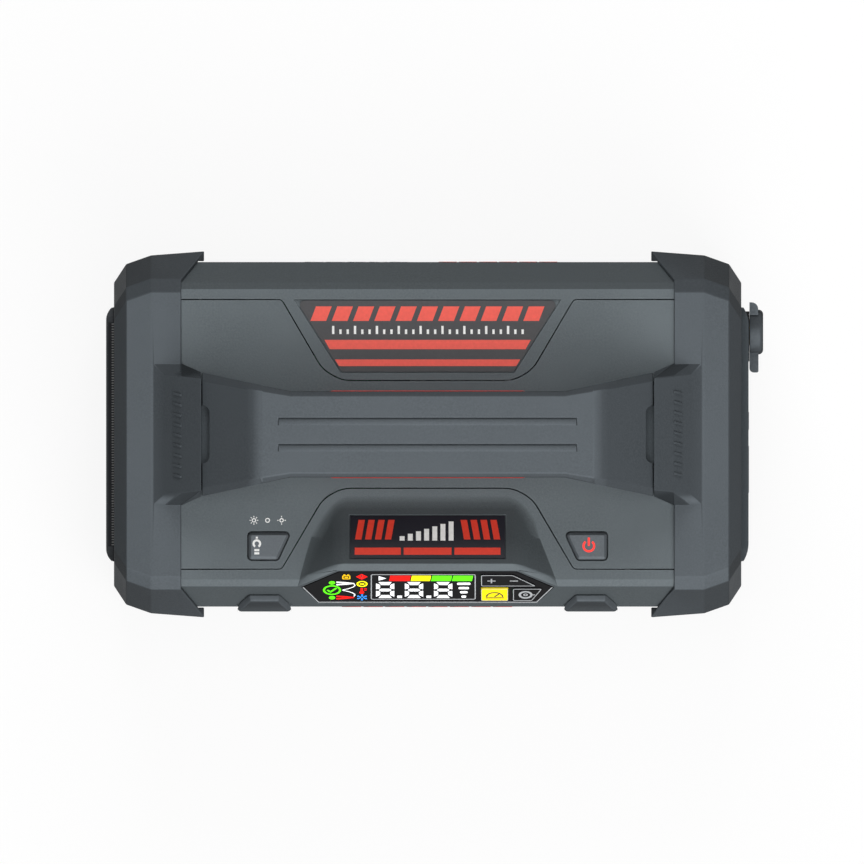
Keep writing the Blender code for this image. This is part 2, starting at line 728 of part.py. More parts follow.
def make_top_deck():
    span = rectangle(-HALF_LENGTH, -DECK_HALF, HALF_LENGTH, DECK_HALF)
    under = DECK_HEIGHT - SHELL_WALL
    deck = piece("top_deck", plate([span], under, DECK_HEIGHT), SHELL_GREY, PACK)
    radius = (SCOOP_HALF ** 2 + SCOOP_DEPTH ** 2) / (2 * SCOOP_DEPTH)
    centre_z = DECK_HEIGHT - SCOOP_DEPTH + radius
    spread = math.acos((centre_z - DECK_HEIGHT + SHELL_WALL / 2) / (radius + SHELL_WALL))
    steps = SCOOP_SIDES // 3
    turns = [spread * (2 * step / steps - 1) for step in range(steps + 1)]
    outer = radius + SHELL_WALL
    basin = [(outer * math.sin(turn), centre_z - outer * math.cos(turn)) for turn in turns]
    half = SCOOP_LENGTH / 2
    join(deck, plate([basin], -half - SHELL_WALL, half + SHELL_WALL, "X"))
    cut(deck, cylinder(radius, -half, half, "X", (0, centre_z), SCOOP_SIDES))
    for region in (tab_region(), flipped(tab_region())):
        cut(deck, plate([offset(region, GAP)], 0, REACH))
    for outline in (button_outline(), mirrored(button_outline())):
        cut(deck, plate([rounded(outline, BUTTON_ROUND)], under - SHELL_WALL, REACH))


def cap_section(x, side_in, drop):
    """Section of an end cap's outside at a station, drawn in at its sides and down at its top."""
    drawn = max(side_in - CAP_SHOULDER_IN, 0)
    half = HALF_DEPTH + CAP_PROUD
    top = CAP_TOP_Z - drop
    low = FOOT_HEIGHT - CAP_RISE + drop / 2
    right = [
        (half - side_in - CAP_FOOT_IN, low),
        (half - side_in, low + CAP_FOOT_RISE),
        (half - side_in, CAP_WALL_TOP_Z - drop),
        (SLOPE_TOP_Y + CAP_SKIN - drawn, top - CAP_BEVEL_DROP),
        (DECK_HALF - CAP_SKIN - drawn, top),
    ]
    return [(x, y, z) for y, z in right + mirrored(right)]


def wing_trim():
    """Side view of all that is cut away inwards of a cap's edge, leaving its side wings."""
    low = FOOT_HEIGHT - CAP_RISE + CAP_FOOT_RISE
    tip = CAP_EDGE_X - CAP_WING
    high = CAP_TOP_Z - CAP_BEVEL_DROP
    wing = [(CAP_EDGE_X, low), (tip, low + 2 * CAP_WING), (tip, CAP_WALL_TOP_Z), (CAP_EDGE_X, high)]
    return [(0, -REACH), (CAP_EDGE_X, -REACH), *wing, (CAP_EDGE_X, REACH), (0, REACH)]


def ramp():
    """Raised foot of the handle on a cap, from its lip down to the cap's top."""
    low = DECK_HEIGHT - SHELL_WALL
    base = HANDLE_END_HALF + RAMP_BASE_OUT
    at_edge = RAMP_LIP_HALF + RAMP_WAIST * LIP_IN / RAMP_WAIST_RUN
    stations = (
        (LIP_X, RAMP_LIP_HALF, RAMP_LIP_HALF + RAMP_SPREAD),
        (CAP_EDGE_X, at_edge, base),
        (LIP_X + RAMP_WAIST_RUN, RAMP_LIP_HALF + RAMP_WAIST, base),
        (LIP_X + RAMP_RUN, RAMP_FOOT_HALF, base),
    )
    sections = []
    for x, top, foot in stations:
        z = LIP_Z - (x - LIP_X) * RAMP_DROP - GAP / 2
        right = [(foot, low), (foot, CAP_TOP_Z - GAP), (top, z)]
        sections.append([(x, v, w) for v, w in right + mirrored(right)])
    return loft(sections)


def mirrored_mesh(mesh):
    """The same solid on the left."""
    shaped = bmesh.new()
    shaped.from_mesh(mesh)
    for vertex in shaped.verts:
        vertex.co.x = -vertex.co.x
    return finished(shaped)


def make_end_cap(name, side, window):
    """End cap with its handle ramp, and a window through its end wall."""
    def placed(mesh):
        return mesh if side > 0 else mirrored_mesh(mesh)

    stations = (
        (CAP_EDGE_X - CAP_WING - GAP, 0, 0),
        (HALF_LENGTH + CAP_SHOULDER, CAP_SHOULDER_IN, 0),
        (HALF_LENGTH + CAP_BROW, CAP_BROW_IN, CAP_BROW_DROP),
        (CAP_FACE_X, CAP_FACE_IN, CAP_FACE_DROP),
    )
    cap = piece(name, placed(loft([cap_section(*station) for station in stations])), CAP_GREY, PACK)
    cut(cap, placed(plate([wing_trim()], -REACH, REACH, "Y")))
    join(cap, placed(ramp()))
    cut(cap, placed(plate([offset(body_outline(), GAP)], 0, HALF_LENGTH + GAP, "X")))
    inside = CAP_FACE_HALF - CAP_CAVITY_IN
    low = FOOT_HEIGHT + CAP_FOOT_RISE
    high = CAP_FACE_TOP_Z - CAP_FOOT_IN
    cut(cap, placed(box((HALF_LENGTH, -inside, low), (CAP_FACE_X - CAP_END_WALL, inside, high))))
    cut(cap, placed(plate([offset(window, GAP)], HALF_LENGTH, REACH, "X")))
    cut(cap, placed(tenon(GAP)))


# Handle

def handle_section(x):
    """Section of the handle bridge at a place along it."""
    away = abs(x)
    end = LIP_X - GAP
    half = between(away, HANDLE_FLARE, end, HANDLE_HALF, HANDLE_END_HALF)
    edge = between(away, HANDLE_FLARE, end, HANDLE_EDGE, HANDLE_END_EDGE)
    top = HANDLE_HEIGHT - max(away - HANDLE_BEND, 0) * HANDLE_DROP
    under = HANDLE_HEIGHT - HANDLE_THICK
    low = between(away, HANDLE_LEG_TOP, HANDLE_LEG_FOOT, under, DECK_HEIGHT + GAP)
    right = [(half - HANDLE_EDGE, low), (half, low + HANDLE_EDGE), (half, top - edge), (half - edge, top)]
    return [(x, y, z) for y, z in right + mirrored(right)]


def tenon(clearance):
    """End of the handle that sits in a ramp, or its pocket when a clearance is given."""
    half = HANDLE_END_HALF - TENON_IN + clearance
    low = DECK_HEIGHT + TENON_IN / 2 - clearance
    high = LIP_Z - TENON_LENGTH * RAMP_DROP - TENON_SKIN + clearance
    return box((LIP_X - TENON_LENGTH, -half, low), (LIP_X + TENON_LENGTH + clearance, half, high))


def make_handle():
    places = sorted((HANDLE_FLARE, HANDLE_LEG_TOP, HANDLE_BEND, HANDLE_LEG_FOOT, LIP_X - GAP))
    stations = [-place for place in reversed(places)] + places
    handle = piece("handle_bridge", loft([handle_section(x) for x in stations]), CAP_GREY, PACK)
    join(handle, tenon(0))
    join(handle, mirrored_mesh(tenon(0)))
    around = rectangle(LIP_X - SLOT_WIDTH, -SLOT_LENGTH / 2, LIP_X + SLOT_WIDTH, SLOT_LENGTH / 2)
    slot = plate([rounded(around, SLOT_ROUND)], HANDLE_LIP_Z - SLOT_DEPTH, REACH)
    cut(handle, slot)
    cut(handle, mirrored_mesh(slot))
    for y in (-GROOVE_SPACING / 2, GROOVE_SPACING / 2):
        low = (-GROOVE_LENGTH / 2, y - GROOVE_WIDTH / 2, HANDLE_HEIGHT - GROOVE_DEPTH)
        cut(handle, box(low, (GROOVE_LENGTH / 2, y + GROOVE_WIDTH / 2, REACH)))
    half = HANDLE_HALF + PAD_PROUD
    under = HANDLE_HEIGHT - HANDLE_THICK - GAP
    outline = rounded(rectangle(-PAD_LENGTH / 2, -half, PAD_LENGTH / 2, half), half / 2)
    piece("handle_underpad", plate([outline], under - PAD_THICK, under), RED_RUBBER, PACK)


def guard_notches():
    """Plan of the grooves in the front wall along both sides of a guard."""
    side = GUARD_WIDTH / 2
    outside = -HALF_DEPTH - GAP
    right = [(side, outside), (side + GUARD_NOTCH, outside), (side, GUARD_NOTCH - HALF_DEPTH)]
    return right, mirrored(right)


def slope_height(y):
    """Height of the front slope at a distance from the middle."""
    return SLOPE_TOP_Z - (y - SLOPE_TOP_Y) * math.tan(SLOPE)


def make_guards():
    """Rubber guards with a flat top on the front slope, down the front wall."""
    wide = GUARD_WIDTH / 2
    narrow = GUARD_FACE / 2
    face = HALF_DEPTH + GUARD_PROUD
    shoulder = HALF_DEPTH - GUARD_SHOULDER_IN
    top_z = slope_height(GUARD_TOP_Y)
    half = [
        (GUARD_TOP_WIDTH / 2, -GUARD_TOP_Y, top_z),
        (GUARD_TOP_WIDTH / 2 - GUARD_EDGE, -GUARD_TOP_Y - GUARD_LEDGE, top_z),
        (wide, -shoulder, slope_height(shoulder)),
        (wide, GUARD_EDGE - face, WALL_TOP_Z),
        (wide, GUARD_EDGE - face, GUARD_FOOT + GUARD_CHAMFER),
        (wide, -HALF_DEPTH, GUARD_FOOT),
        (narrow, -face, WALL_TOP_Z),
        (narrow, -face, GUARD_FOOT + GUARD_CHAMFER),
    ]
    for name, x in (("front_guard_left", -GUARD_X), ("front_guard_right", GUARD_X)):
        guard = piece(name, hull(half + [(-u, y, z) for u, y, z in half]), RUBBER, PACK, (x, 0, 0))
        cut(guard, plate([offset(body_outline(), GAP)], -GUARD_WIDTH, GUARD_WIDTH, "X"))


# Display, keys, labels and buttons

def display_outline():
    right = [(DISPLAY_FOOT_HALF, DISPLAY_FOOT), (DISPLAY_TIP_HALF, DISPLAY_TIP)]
    right.append((DISPLAY_TOP_HALF, DISPLAY_TOP))
    return right + mirrored(right)


def display_edge(along):
    """Half width of the display at a height along the slope."""
    if along < DISPLAY_TIP:
        return between(along, DISPLAY_FOOT, DISPLAY_TIP, DISPLAY_FOOT_HALF, DISPLAY_TIP_HALF)
    return between(along, DISPLAY_TIP, DISPLAY_TOP, DISPLAY_TIP_HALF, DISPLAY_TOP_HALF)


def console_label_outline():
    return rectangle(-CONSOLE_LABEL_HALF, -CONSOLE_LABEL_TOP, CONSOLE_LABEL_HALF, -CONSOLE_LABEL_FOOT)


def rear_label_outline():
    foot_half = tab_half(REAR_LABEL_FOOT_Y) - REAR_LABEL_FOOT_SIDE
    right = [(foot_half, REAR_LABEL_FOOT_Y), (tab_half(REAR_LABEL_Y) - REAR_LABEL_SIDE, REAR_LABEL_Y)]
    return right + mirrored(right)


def button_outline():
    """Moat of the left button, in plan."""
    inner_foot = tab_half(BUTTON_FOOT_Y) + BUTTON_FOOT_SIDE
    inner = tab_half(BUTTON_TOP_Y) + BUTTON_SIDE
    outer = inner + BUTTON_LENGTH
    right = [(-inner_foot, -BUTTON_FOOT_Y), (-inner, -BUTTON_TOP_Y)]
    return right + [(-outer, -BUTTON_TOP_Y), (-outer, -BUTTON_FOOT_Y)]


def key_outlines():
    """Outline of each key in the display's plane."""
    unit = rectangle(KEY_LEFT, KEY_ROW_LOW_FOOT, UNIT_KEY_RIGHT, KEY_ROW_LOW)
    pump = rectangle(PUMP_KEY_LEFT, KEY_ROW_LOW_FOOT, display_edge(KEY_ROW_LOW) - PUMP_KEY_SIDE, KEY_ROW_LOW)
    pump[1] = (display_edge(KEY_ROW_LOW_FOOT) - PUMP_KEY_FOOT_SIDE, KEY_ROW_LOW_FOOT)
    rocker_foot = display_edge(KEY_ROW_TOP_FOOT) - ROCKER_FOOT_SIDE
    rocker = rectangle(KEY_LEFT, KEY_ROW_TOP_FOOT, rocker_foot, KEY_ROW_TOP)
    rocker[2] = (display_edge(KEY_ROW_TOP) - ROCKER_SIDE, KEY_ROW_TOP)
    return {"unit_key": unit, "pump_key": pump, "plus_minus_key": rocker}


def shifted(outline, centre):
    return [(u - centre[0], v - centre[1]) for u, v in outline]


def make_display():
    """Window, liquid crystal module and board, stacked in the well of the hood."""
    holes = [rounded(offset(outline, GAP), KEY_ROUND) for outline in key_outlines().values()]
    piece("display_window", plate([display_outline(), *holes], -WINDOW_THICK, 0), BLACK_GLASS, DISPLAY)
    lcd = rectangle(LCD_LEFT, DISPLAY_FOOT + LCD_FOOT_RIM, KEY_LEFT - LCD_KEY_RIM, DISPLAY_TOP - LCD_RIM)
    behind = -WINDOW_THICK - GAP
    piece("lcd_module", plate([lcd], behind - LCD_THICK, behind), SMOKED_GLASS, DISPLAY)
    floor = -WELL_DEPTH + GAP
    board = plate([offset(display_outline(), -GAP)], floor, floor + BOARD_THICK)
    piece("display_board", board, BOARD_GREEN, DISPLAY)


def make_keys():
    """Two keys that press in, and one that rocks about the line between its plus and minus."""
    row_low = (KEY_ROW_LOW + KEY_ROW_LOW_FOOT) / 2
    row_top = (KEY_ROW_TOP + KEY_ROW_TOP_FOOT) / 2
    pump_right = display_edge(KEY_ROW_LOW) - PUMP_KEY_SIDE
    centres = {
        "unit_key": ((KEY_LEFT + UNIT_KEY_RIGHT) / 2, row_low),
        "pump_key": ((PUMP_KEY_LEFT + pump_right) / 2, row_low),
        "plus_minus_key": (KEY_LEFT + ROCKER_PIVOT_IN, row_top),
    }
    pivot_depth = (KEY_PROUD - KEY_BACK) / 2
    for name, outline in key_outlines().items():
        face = rounded(shifted(outline, centres[name]), KEY_ROUND)
        body = plate([face], -KEY_BACK - pivot_depth, KEY_PROUD - pivot_depth)
        colour = YELLOW_KEY if name == "unit_key" else BLACK_KEY
        piece(name, body, colour, DISPLAY, (*centres[name], pivot_depth))


def make_labels():
    face = LABEL_PROUD
    console = plate([console_label_outline()], face - LABEL_THICK, face)
    piece("console_label", console, LABEL_BLACK, HOOD_BACK)
    rear = plate([rounded(rear_label_outline(), LABEL_ROUND)], face - LABEL_THICK, face)
    piece("rear_label", rear, LABEL_BLACK, PACK, (0, 0, DECK_HEIGHT))


def make_buttons():
    """Deck buttons, each held by a flange below the deck."""
    _, (inner, high), _, (outer, low) = button_outline()
    centre = ((outer + inner) / 2, (high + low) / 2)
    for name, left in (("light_button", True), ("power_button", False)):
        moat = shifted(button_outline(), centre)
        moat = moat if left else mirrored(moat)
        place = (centre[0] if left else -centre[0], centre[1], DECK_HEIGHT)
        under = -SHELL_WALL - GAP
        levels = (
            (BUTTON_MOAT, under - GAP),
            (BUTTON_MOAT, BUTTON_PROUD - BUTTON_BEVEL_DEPTH),
            (BUTTON_MOAT + BUTTON_BEVEL, BUTTON_PROUD),
        )
        sections = []
        for drawn_in, z in levels:
            outline = rounded(offset(moat, -drawn_in), BUTTON_ROUND - drawn_in)
            sections.append([(x, y, z) for x, y in outline])
        button = piece(name, loft(sections), BUTTON_GREY, PACK, place)
        join(button, plate([offset(moat, BUTTON_FLANGE)], under - BUTTON_FLANGE_THICK, under))


# Lamp

def panel_outline(low, high, drawn_in=0.0):
    """Rounded outline of the lamp or the port panel, drawn in for its neck."""
    frame = rectangle(-PANEL_HALF + drawn_in, low + drawn_in, PANEL_HALF - drawn_in, high - drawn_in)
    return rounded(frame, PANEL_ROUND - drawn_in / 2)


def curved_ends(face, rim, run):
    """Plan of a panel with a flat face that curves back to its rim at both sides."""
    drop = face - rim
    radius = (run ** 2 + drop ** 2) / (2 * drop)
    sweep = math.asin(run / radius)
    right = [(PANEL_HALF + GAP, HALF_LENGTH), (PANEL_HALF + GAP, rim)]
    for step in range(ARC_STEPS + 1):
        turn = sweep * (1 - step / ARC_STEPS)
        right.append((PANEL_HALF - run + radius * math.sin(turn), face - radius * (1 - math.cos(turn))))
    return [(x, -y) for y, x in right + mirrored(right)]


def make_lamp():
    """Bezel with the lens, reflector and board stacked in its opening."""
    lens_x = LAMP_FACE_X - LAMP_SETBACK
    reflector_x = lens_x - LENS_THICK - GAP
    board_x = reflector_x - REFLECTOR_THICK - GAP
    back_x = board_x - LAMP_BOARD_THICK
    opening = panel_outline(LAMP_LOW, LAMP_HIGH, LAMP_FRAME)
    flange = plate([panel_outline(LAMP_LOW, LAMP_HIGH)], PANEL_BACK_X, LAMP_FACE_X, "X")
    bezel = piece("light_bezel", mirrored_mesh(flange), PANEL_GREY, PACK)
    neck = plate([panel_outline(LAMP_LOW, LAMP_HIGH, PANEL_NECK_IN)], back_x, LAMP_FACE_X - GAP, "X")
    join(bezel, mirrored_mesh(neck))
    cut(bezel, mirrored_mesh(plate([opening], HALF_LENGTH, REACH, "X")))
    shape = curved_ends(LAMP_FACE_X, PANEL_BACK_X + PANEL_BACK_EDGE, LAMP_CURVE)
    trim(bezel, mirrored_mesh(plate([shape], 0, REACH)))
    inside = offset(opening, -GAP)
    lens = plate([inside], lens_x - LENS_THICK, lens_x, "X")
    piece("light_lens", mirrored_mesh(lens), CLEAR_LENS, PACK)
    pitch = 2 * (PANEL_HALF - LAMP_FRAME) / LED_COUNT
    middle_z = (LAMP_LOW + LAMP_HIGH) / 2
    places = [(pitch * (index - (LED_COUNT - 1) / 2), middle_z) for index in range(LED_COUNT)]
    cups = [circle(LED_RADIUS, place, SMALL_SIDES) for place in places]
    reflector = plate([inside, *cups], reflector_x - REFLECTOR_THICK, reflector_x, "X")
    piece("light_reflector", mirrored_mesh(reflector), CHROME, PACK)
    piece("light_board", mirrored_mesh(plate([inside], back_x, board_x, "X")), BOARD_GREEN, PACK)


# Ports

def jump_outline():
    half = JUMP_WIDTH / 2
    return rectangle(JUMP_Y - half, JUMP_Z - JUMP_HEIGHT / 2, JUMP_Y + half, JUMP_Z + JUMP_HEIGHT / 2)


def usb_outline(y, width, height):
    return rectangle(y - width / 2, USB_Z - height / 2, y + width / 2, USB_Z + height / 2)


def usb_cover_outline():
    half = USB_A_HEIGHT / 2
    return rectangle(USB_C_Y - USB_C_WIDTH / 2, USB_Z - half, USB_A_Y + USB_A_WIDTH / 2, USB_Z + half)


def make_port_panel():
    flange = plate([panel_outline(PORT_LOW, PORT_HIGH)], PANEL_BACK_X, PORT_FACE_X, "X")
    panel = piece("port_panel", flange, PANEL_GREY, PACK)
    neck = panel_outline(PORT_LOW, PORT_HIGH, PANEL_NECK_IN)
    join(panel, plate([neck], CAP_FACE_X - PORT_NECK, PORT_FACE_X - GAP, "X"))
    trim(panel, plate([curved_ends(PORT_FACE_X, PANEL_BACK_X + PANEL_BACK_EDGE, PORT_CURVE)], 0, REACH))
    floor = PORT_FACE_X - COVER_THICK - GAP
    for outline in (jump_outline(), usb_cover_outline()):
        cut(panel, plate([offset(outline, COVER_MARGIN + GAP)], floor, REACH, "X"))
    sockets = (
        jump_outline(),
        usb_outline(USB_A_Y, USB_A_WIDTH, USB_A_HEIGHT),
        usb_outline(USB_C_Y, USB_C_WIDTH, USB_C_HEIGHT),
    )
    for outline in sockets:
        cut(panel, plate([offset(outline, GAP)], HALF_LENGTH, REACH, "X"))
    cut(panel, cylinder(OUTLET_RADIUS + GAP, HALF_LENGTH, REACH, "X", (OUTLET_Y, OUTLET_Z)))


def make_cover(name, outline):
    """Rubber flap over a socket, hinged at its round top edge."""
    (left, low), (right, high) = outline[0], outline[2]
    half_thick = COVER_THICK / 2
    hinge = (PORT_FACE_X - half_thick, (left + right) / 2, high + COVER_MARGIN - half_thick)
    turns = [math.pi * step / ARC_STEPS for step in range(ARC_STEPS + 1)]
    side = [(half_thick * math.cos(turn), half_thick * math.sin(turn)) for turn in turns]
    foot = low - COVER_MARGIN - hinge[2]
    side += [(-half_thick, foot), (half_thick, foot)]
    half_width = (right - left) / 2 + COVER_MARGIN
    piece(name, plate([side], -half_width, half_width, "Y"), RUBBER, PACK, hinge)


def make_sockets():
    face = PORT_FACE_X - COVER_THICK - 2 * GAP
    block = plate([jump_outline()], face - JUMP_DEPTH, face, "X")
    jump = piece("jump_socket", block, SOCKET_BLUE, PACK)
    for y in (JUMP_Y - JUMP_PIN_SPACING / 2, JUMP_Y + JUMP_PIN_SPACING / 2):
        bottom = face - JUMP_DEPTH + SOCKET_BACK
        cut(jump, cylinder(JUMP_PIN, bottom, REACH, "X", (y, JUMP_Z), SMALL_SIDES))
    sizes = (
        ("usb_a_socket", USB_A_Y, USB_A_WIDTH, USB_A_HEIGHT),
        ("usb_c_socket", USB_C_Y, USB_C_WIDTH, USB_C_HEIGHT),
    )
    back = face - USB_DEPTH
    for name, y, width, height in sizes:
        outline = usb_outline(y, width, height)
        socket = piece(name, plate([outline], back, face, "X"), STEEL, PACK)
        cut(socket, plate([offset(outline, -USB_WALL)], back + USB_WALL, REACH, "X"))
        tongue_half = height / 2 - USB_WALL - height / 4
        tongue = rectangle(y - width / 4, USB_Z - tongue_half / 2, y + width / 4, USB_Z + tongue_half / 2)
        join(socket, plate([tongue], back + USB_WALL / 2, face - USB_WALL, "X"))


def make_air_outlet():
    """Air outlet, and its rubber cap on a strap that swings about an upright axis."""
    inner = CAP_FACE_X - OUTLET_INNER
    wall = [circle(OUTLET_RADIUS), circle(OUTLET_BORE, sides=SMALL_SIDES)]
    place = (0, OUTLET_Y, OUTLET_Z)
    piece("air_outlet", plate(wall, inner, PORT_FACE_X + OUTLET_OUTER, "X"), BRASS, PACK, place)
    half = STRAP_THICK / 2
    to_centre = STRAP_LENGTH - half
    hinge = (DUST_CAP_X + half, OUTLET_Y - to_centre, OUTLET_Z)
    turns = [math.pi * (1 + step / ARC_STEPS) for step in range(ARC_STEPS + 1)]
    strap = [(half * math.cos(turn), half * math.sin(turn)) for turn in turns]
    strap += [(half, to_centre), (-half, to_centre)]
    band = plate([strap], -STRAP_WIDTH / 2, STRAP_WIDTH / 2)
    cap = piece("air_outlet_cap", band, RUBBER, PACK, hinge)
    tab = rounded(rectangle(-STRAP_WIDTH, 0, STRAP_WIDTH, TAB_LENGTH), STRAP_WIDTH / 2)
    join(cap, plate([[(to_centre + v, u) for u, v in tab]], -half, TAB_THICK - half, "X"))
    centre = (to_centre, 0)
    join(cap, cylinder(DUST_CAP_RADIUS, -half, DUST_CAP_LENGTH - half, "X", centre, LARGE_SIDES))
    cut(cap, cylinder(DUST_CAP_BORE, -REACH, DUST_CAP_LENGTH - half - DUST_CAP_ROOF, "X", centre))


# Battery and electronics

def make_battery():
    """Tray on the base pan, with the flat cells stacked in it."""
    low = (-TRAY_LEFT, -TRAY_HALF, FLOOR_Z)
    high = (-TRAY_RIGHT, TRAY_HALF, FLOOR_Z + TRAY_HEIGHT)
    tray = piece("battery_tray", box(low, high), TRAY_BLACK, PACK)
    left = -TRAY_LEFT + TRAY_WALL
    right = -TRAY_RIGHT - TRAY_WALL
    half = TRAY_HALF - TRAY_WALL
    cut(tray, box((left, -half, FLOOR_Z + TRAY_WALL), (right, half, REACH)))
    for index in range(CELL_COUNT):
        foot = FLOOR_Z + TRAY_WALL + GAP + index * (CELL_THICK + GAP)
        cell = box((left + GAP, GAP - half, 0), (right - GAP, half - GAP, CELL_THICK))
        piece("battery_cell_" + str(index + 1), cell, CELL_BLUE, PACK, (0, 0, foot))


def make_electronics():
    """Main board on the tray's rim, with its relay and capacitor."""
    board_z = FLOOR_Z + TRAY_HEIGHT + GAP
    board = box((-TRAY_LEFT, -TRAY_HALF, 0), (-TRAY_RIGHT, TRAY_HALF, MAIN_BOARD_THICK))
    piece("main_board", board, BOARD_GREEN, PACK, (0, 0, board_z))
    top = board_z + MAIN_BOARD_THICK + GAP
    middle = -(TRAY_LEFT + TRAY_RIGHT) / 2
    half = RELAY_SIZE / 2
    relay = box((-half, -half, 0), (half, half, RELAY_HEIGHT))
    piece("power_relay", relay, SOCKET_BLACK, PACK, (middle, RELAY_Y, top))
    can = cylinder(CAPACITOR_RADIUS, 0, CAPACITOR_HEIGHT)
    piece("capacitor", can, ALUMINIUM, PACK, (middle, CAPACITOR_Y, top))


# Compressor

def gear_outline(teeth, first):
    """Toothed outline, with the middle of its first tooth at an angle."""
    radius = GEAR_MODULE * teeth / 2
    tip = radius + TOOTH_TIP * GEAR_MODULE
    root = radius - TOOTH_ROOT * GEAR_MODULE
    pitch = 2 * math.pi / teeth
    shape = [(-TOOTH_FOOT_SHARE, root), (-TOOTH_TIP_SHARE, tip)]
    shape += [(TOOTH_TIP_SHARE, tip), (TOOTH_FOOT_SHARE, root)]
    outline = []
    for tooth in range(teeth):
        for share, reach in shape:
            turn = first + pitch * (tooth + share)
            outline.append((reach * math.cos(turn), reach * math.sin(turn)))
    return outline


def make_motor():
    axis = (0, MOTOR_Y, CRANK_Z)
    front = MOTOR_LEFT + MOTOR_LENGTH
    barrel = cylinder(MOTOR_RADIUS, MOTOR_LEFT, front, "X", sides=LARGE_SIDES)
    can = piece("motor_can", barrel, STEEL, PACK, axis)
    cut(can, cylinder(SHAFT_RADIUS + GAP, front - SHAFT_INSIDE - GAP, REACH, "X", sides=SMALL_SIDES))
    teeth = plate([gear_outline(PINION_TEETH, math.pi)], GEAR_X, GEAR_X + GEAR_WIDTH, "X")
    pinion = piece("motor_pinion", teeth, BRASS, PACK, axis)
    shaft_end = GEAR_X + GEAR_WIDTH / 2
    join(pinion, cylinder(SHAFT_RADIUS, front - SHAFT_INSIDE, shaft_end, "X", sides=SMALL_SIDES))


def make_compressor_frame():
    left = CRANK_Y - AXLE_RADIUS - 2 * FRAME_MARGIN
    high = CRANK_Z + MOTOR_RADIUS + FRAME_MARGIN
    outline = rectangle(left, FLOOR_Z, MOTOR_Y + MOTOR_RADIUS + FRAME_MARGIN, high)
    shaft = circle(SHAFT_RADIUS + 2 * GAP, (MOTOR_Y, CRANK_Z), SMALL_SIDES)
    axle = circle(AXLE_RADIUS + GAP, (CRANK_Y, CRANK_Z), SMALL_SIDES)
    frame = plate([outline, shaft, axle], FRAME_X, FRAME_X + FRAME_THICK, "X")
    piece("compressor_frame", frame, ALUMINIUM, PACK)


def make_crank():
    """Axle fixed in the frame, and the gear that turns on it and carries the crank pin."""
    axis = (0, CRANK_Y, CRANK_Z)
    end = GEAR_X + GEAR_WIDTH
    axle = cylinder(AXLE_RADIUS, FRAME_X, end, "X", sides=SMALL_SIDES)
    piece("crank_axle", axle, STEEL, PACK, axis)
    outline = gear_outline(GEAR_TEETH, math.pi / GEAR_TEETH)
    teeth = plate([outline, circle(AXLE_RADIUS + GAP, sides=SMALL_SIDES)], GEAR_X, end, "X")
    gear = piece("crank_gear", teeth, NYLON, PACK, axis)
    pin_start = GEAR_X + GEAR_WIDTH / 2
    pin_end = end + CRANK_PIN_LENGTH
    join(gear, cylinder(CRANK_PIN, pin_start, pin_end, "X", (0, CRANK_RADIUS), SMALL_SIDES))


def make_piston():
    """Rod and piston, which slide along Y in the cylinder."""
    half = ROD_THICK / 2
    place = (ROD_X + half, CRANK_Y, CRANK_Z)
    hole = circle(CRANK_PIN + GAP, sides=SMALL_SIDES)
    eye = plate([circle(ROD_EYE, sides=SMALL_SIDES), hole], -half, half, "X")
    rod = piece("piston_rod", eye, ALUMINIUM, PACK, place)
    start = -(ROD_EYE + CRANK_PIN) / 2
    join(rod, box((-half, -ROD_LENGTH - half, -ROD_WIDTH / 2), (half, start, ROD_WIDTH / 2)))
    crown = -ROD_LENGTH - PISTON_LENGTH
    join(rod, cylinder(PISTON_RADIUS, crown, -ROD_LENGTH, "Y", sides=LARGE_SIDES))


def make_cylinder():
    """Cylinder on its foot, and its head."""
    centre_x = ROD_X + ROD_THICK / 2
    centre = (centre_x, CRANK_Z)
    bore = PISTON_RADIUS + GAP
    outer = bore + CYLINDER_WALL
    mouth = CRANK_Y - GEAR_TIP - 4 * GAP
    end = CYLINDER_END_Y
    barrel = piece("cylinder", cylinder(outer, end, mouth, "Y", centre, LARGE_SIDES), ALUMINIUM, PACK)
    half = CYLINDER_FOOT / 2
    foot_top = CRANK_Z - bore - CYLINDER_WALL / 2
    join(barrel, box((centre_x - half, end + GAP, FLOOR_Z), (centre_x + half, mouth - GAP, foot_top)))
    cut(barrel, cylinder(bore, -REACH, REACH, "Y", centre, LARGE_SIDES))
    head_y = end - GAP
    head = cylinder(outer, head_y - HEAD_THICK, head_y, "Y", centre, LARGE_SIDES)
    piece("cylinder_head", head, ALUMINIUM, PACK)
    make_air_tube((centre_x + outer + GAP, head_y - HEAD_THICK / 2, CRANK_Z))


def smooth_route(points, steps):
    """Places along a smooth curve through the points."""
    route = []
    ends = [2 * points[0] - points[1], *points, 2 * points[-1] - points[-2]]
    for before, start, end, after in zip(ends, ends[1:], ends[2:], ends[3:]):
        for step in range(steps):
            share = step / steps
            first = (end - before) / 2
            last = (after - start) / 2
            rise = 3 * (end - start) - 2 * first - last
            turn = 2 * (start - end) + first + last
            route.append(start + share * (first + share * (rise + share * turn)))
    return route + [points[-1]]


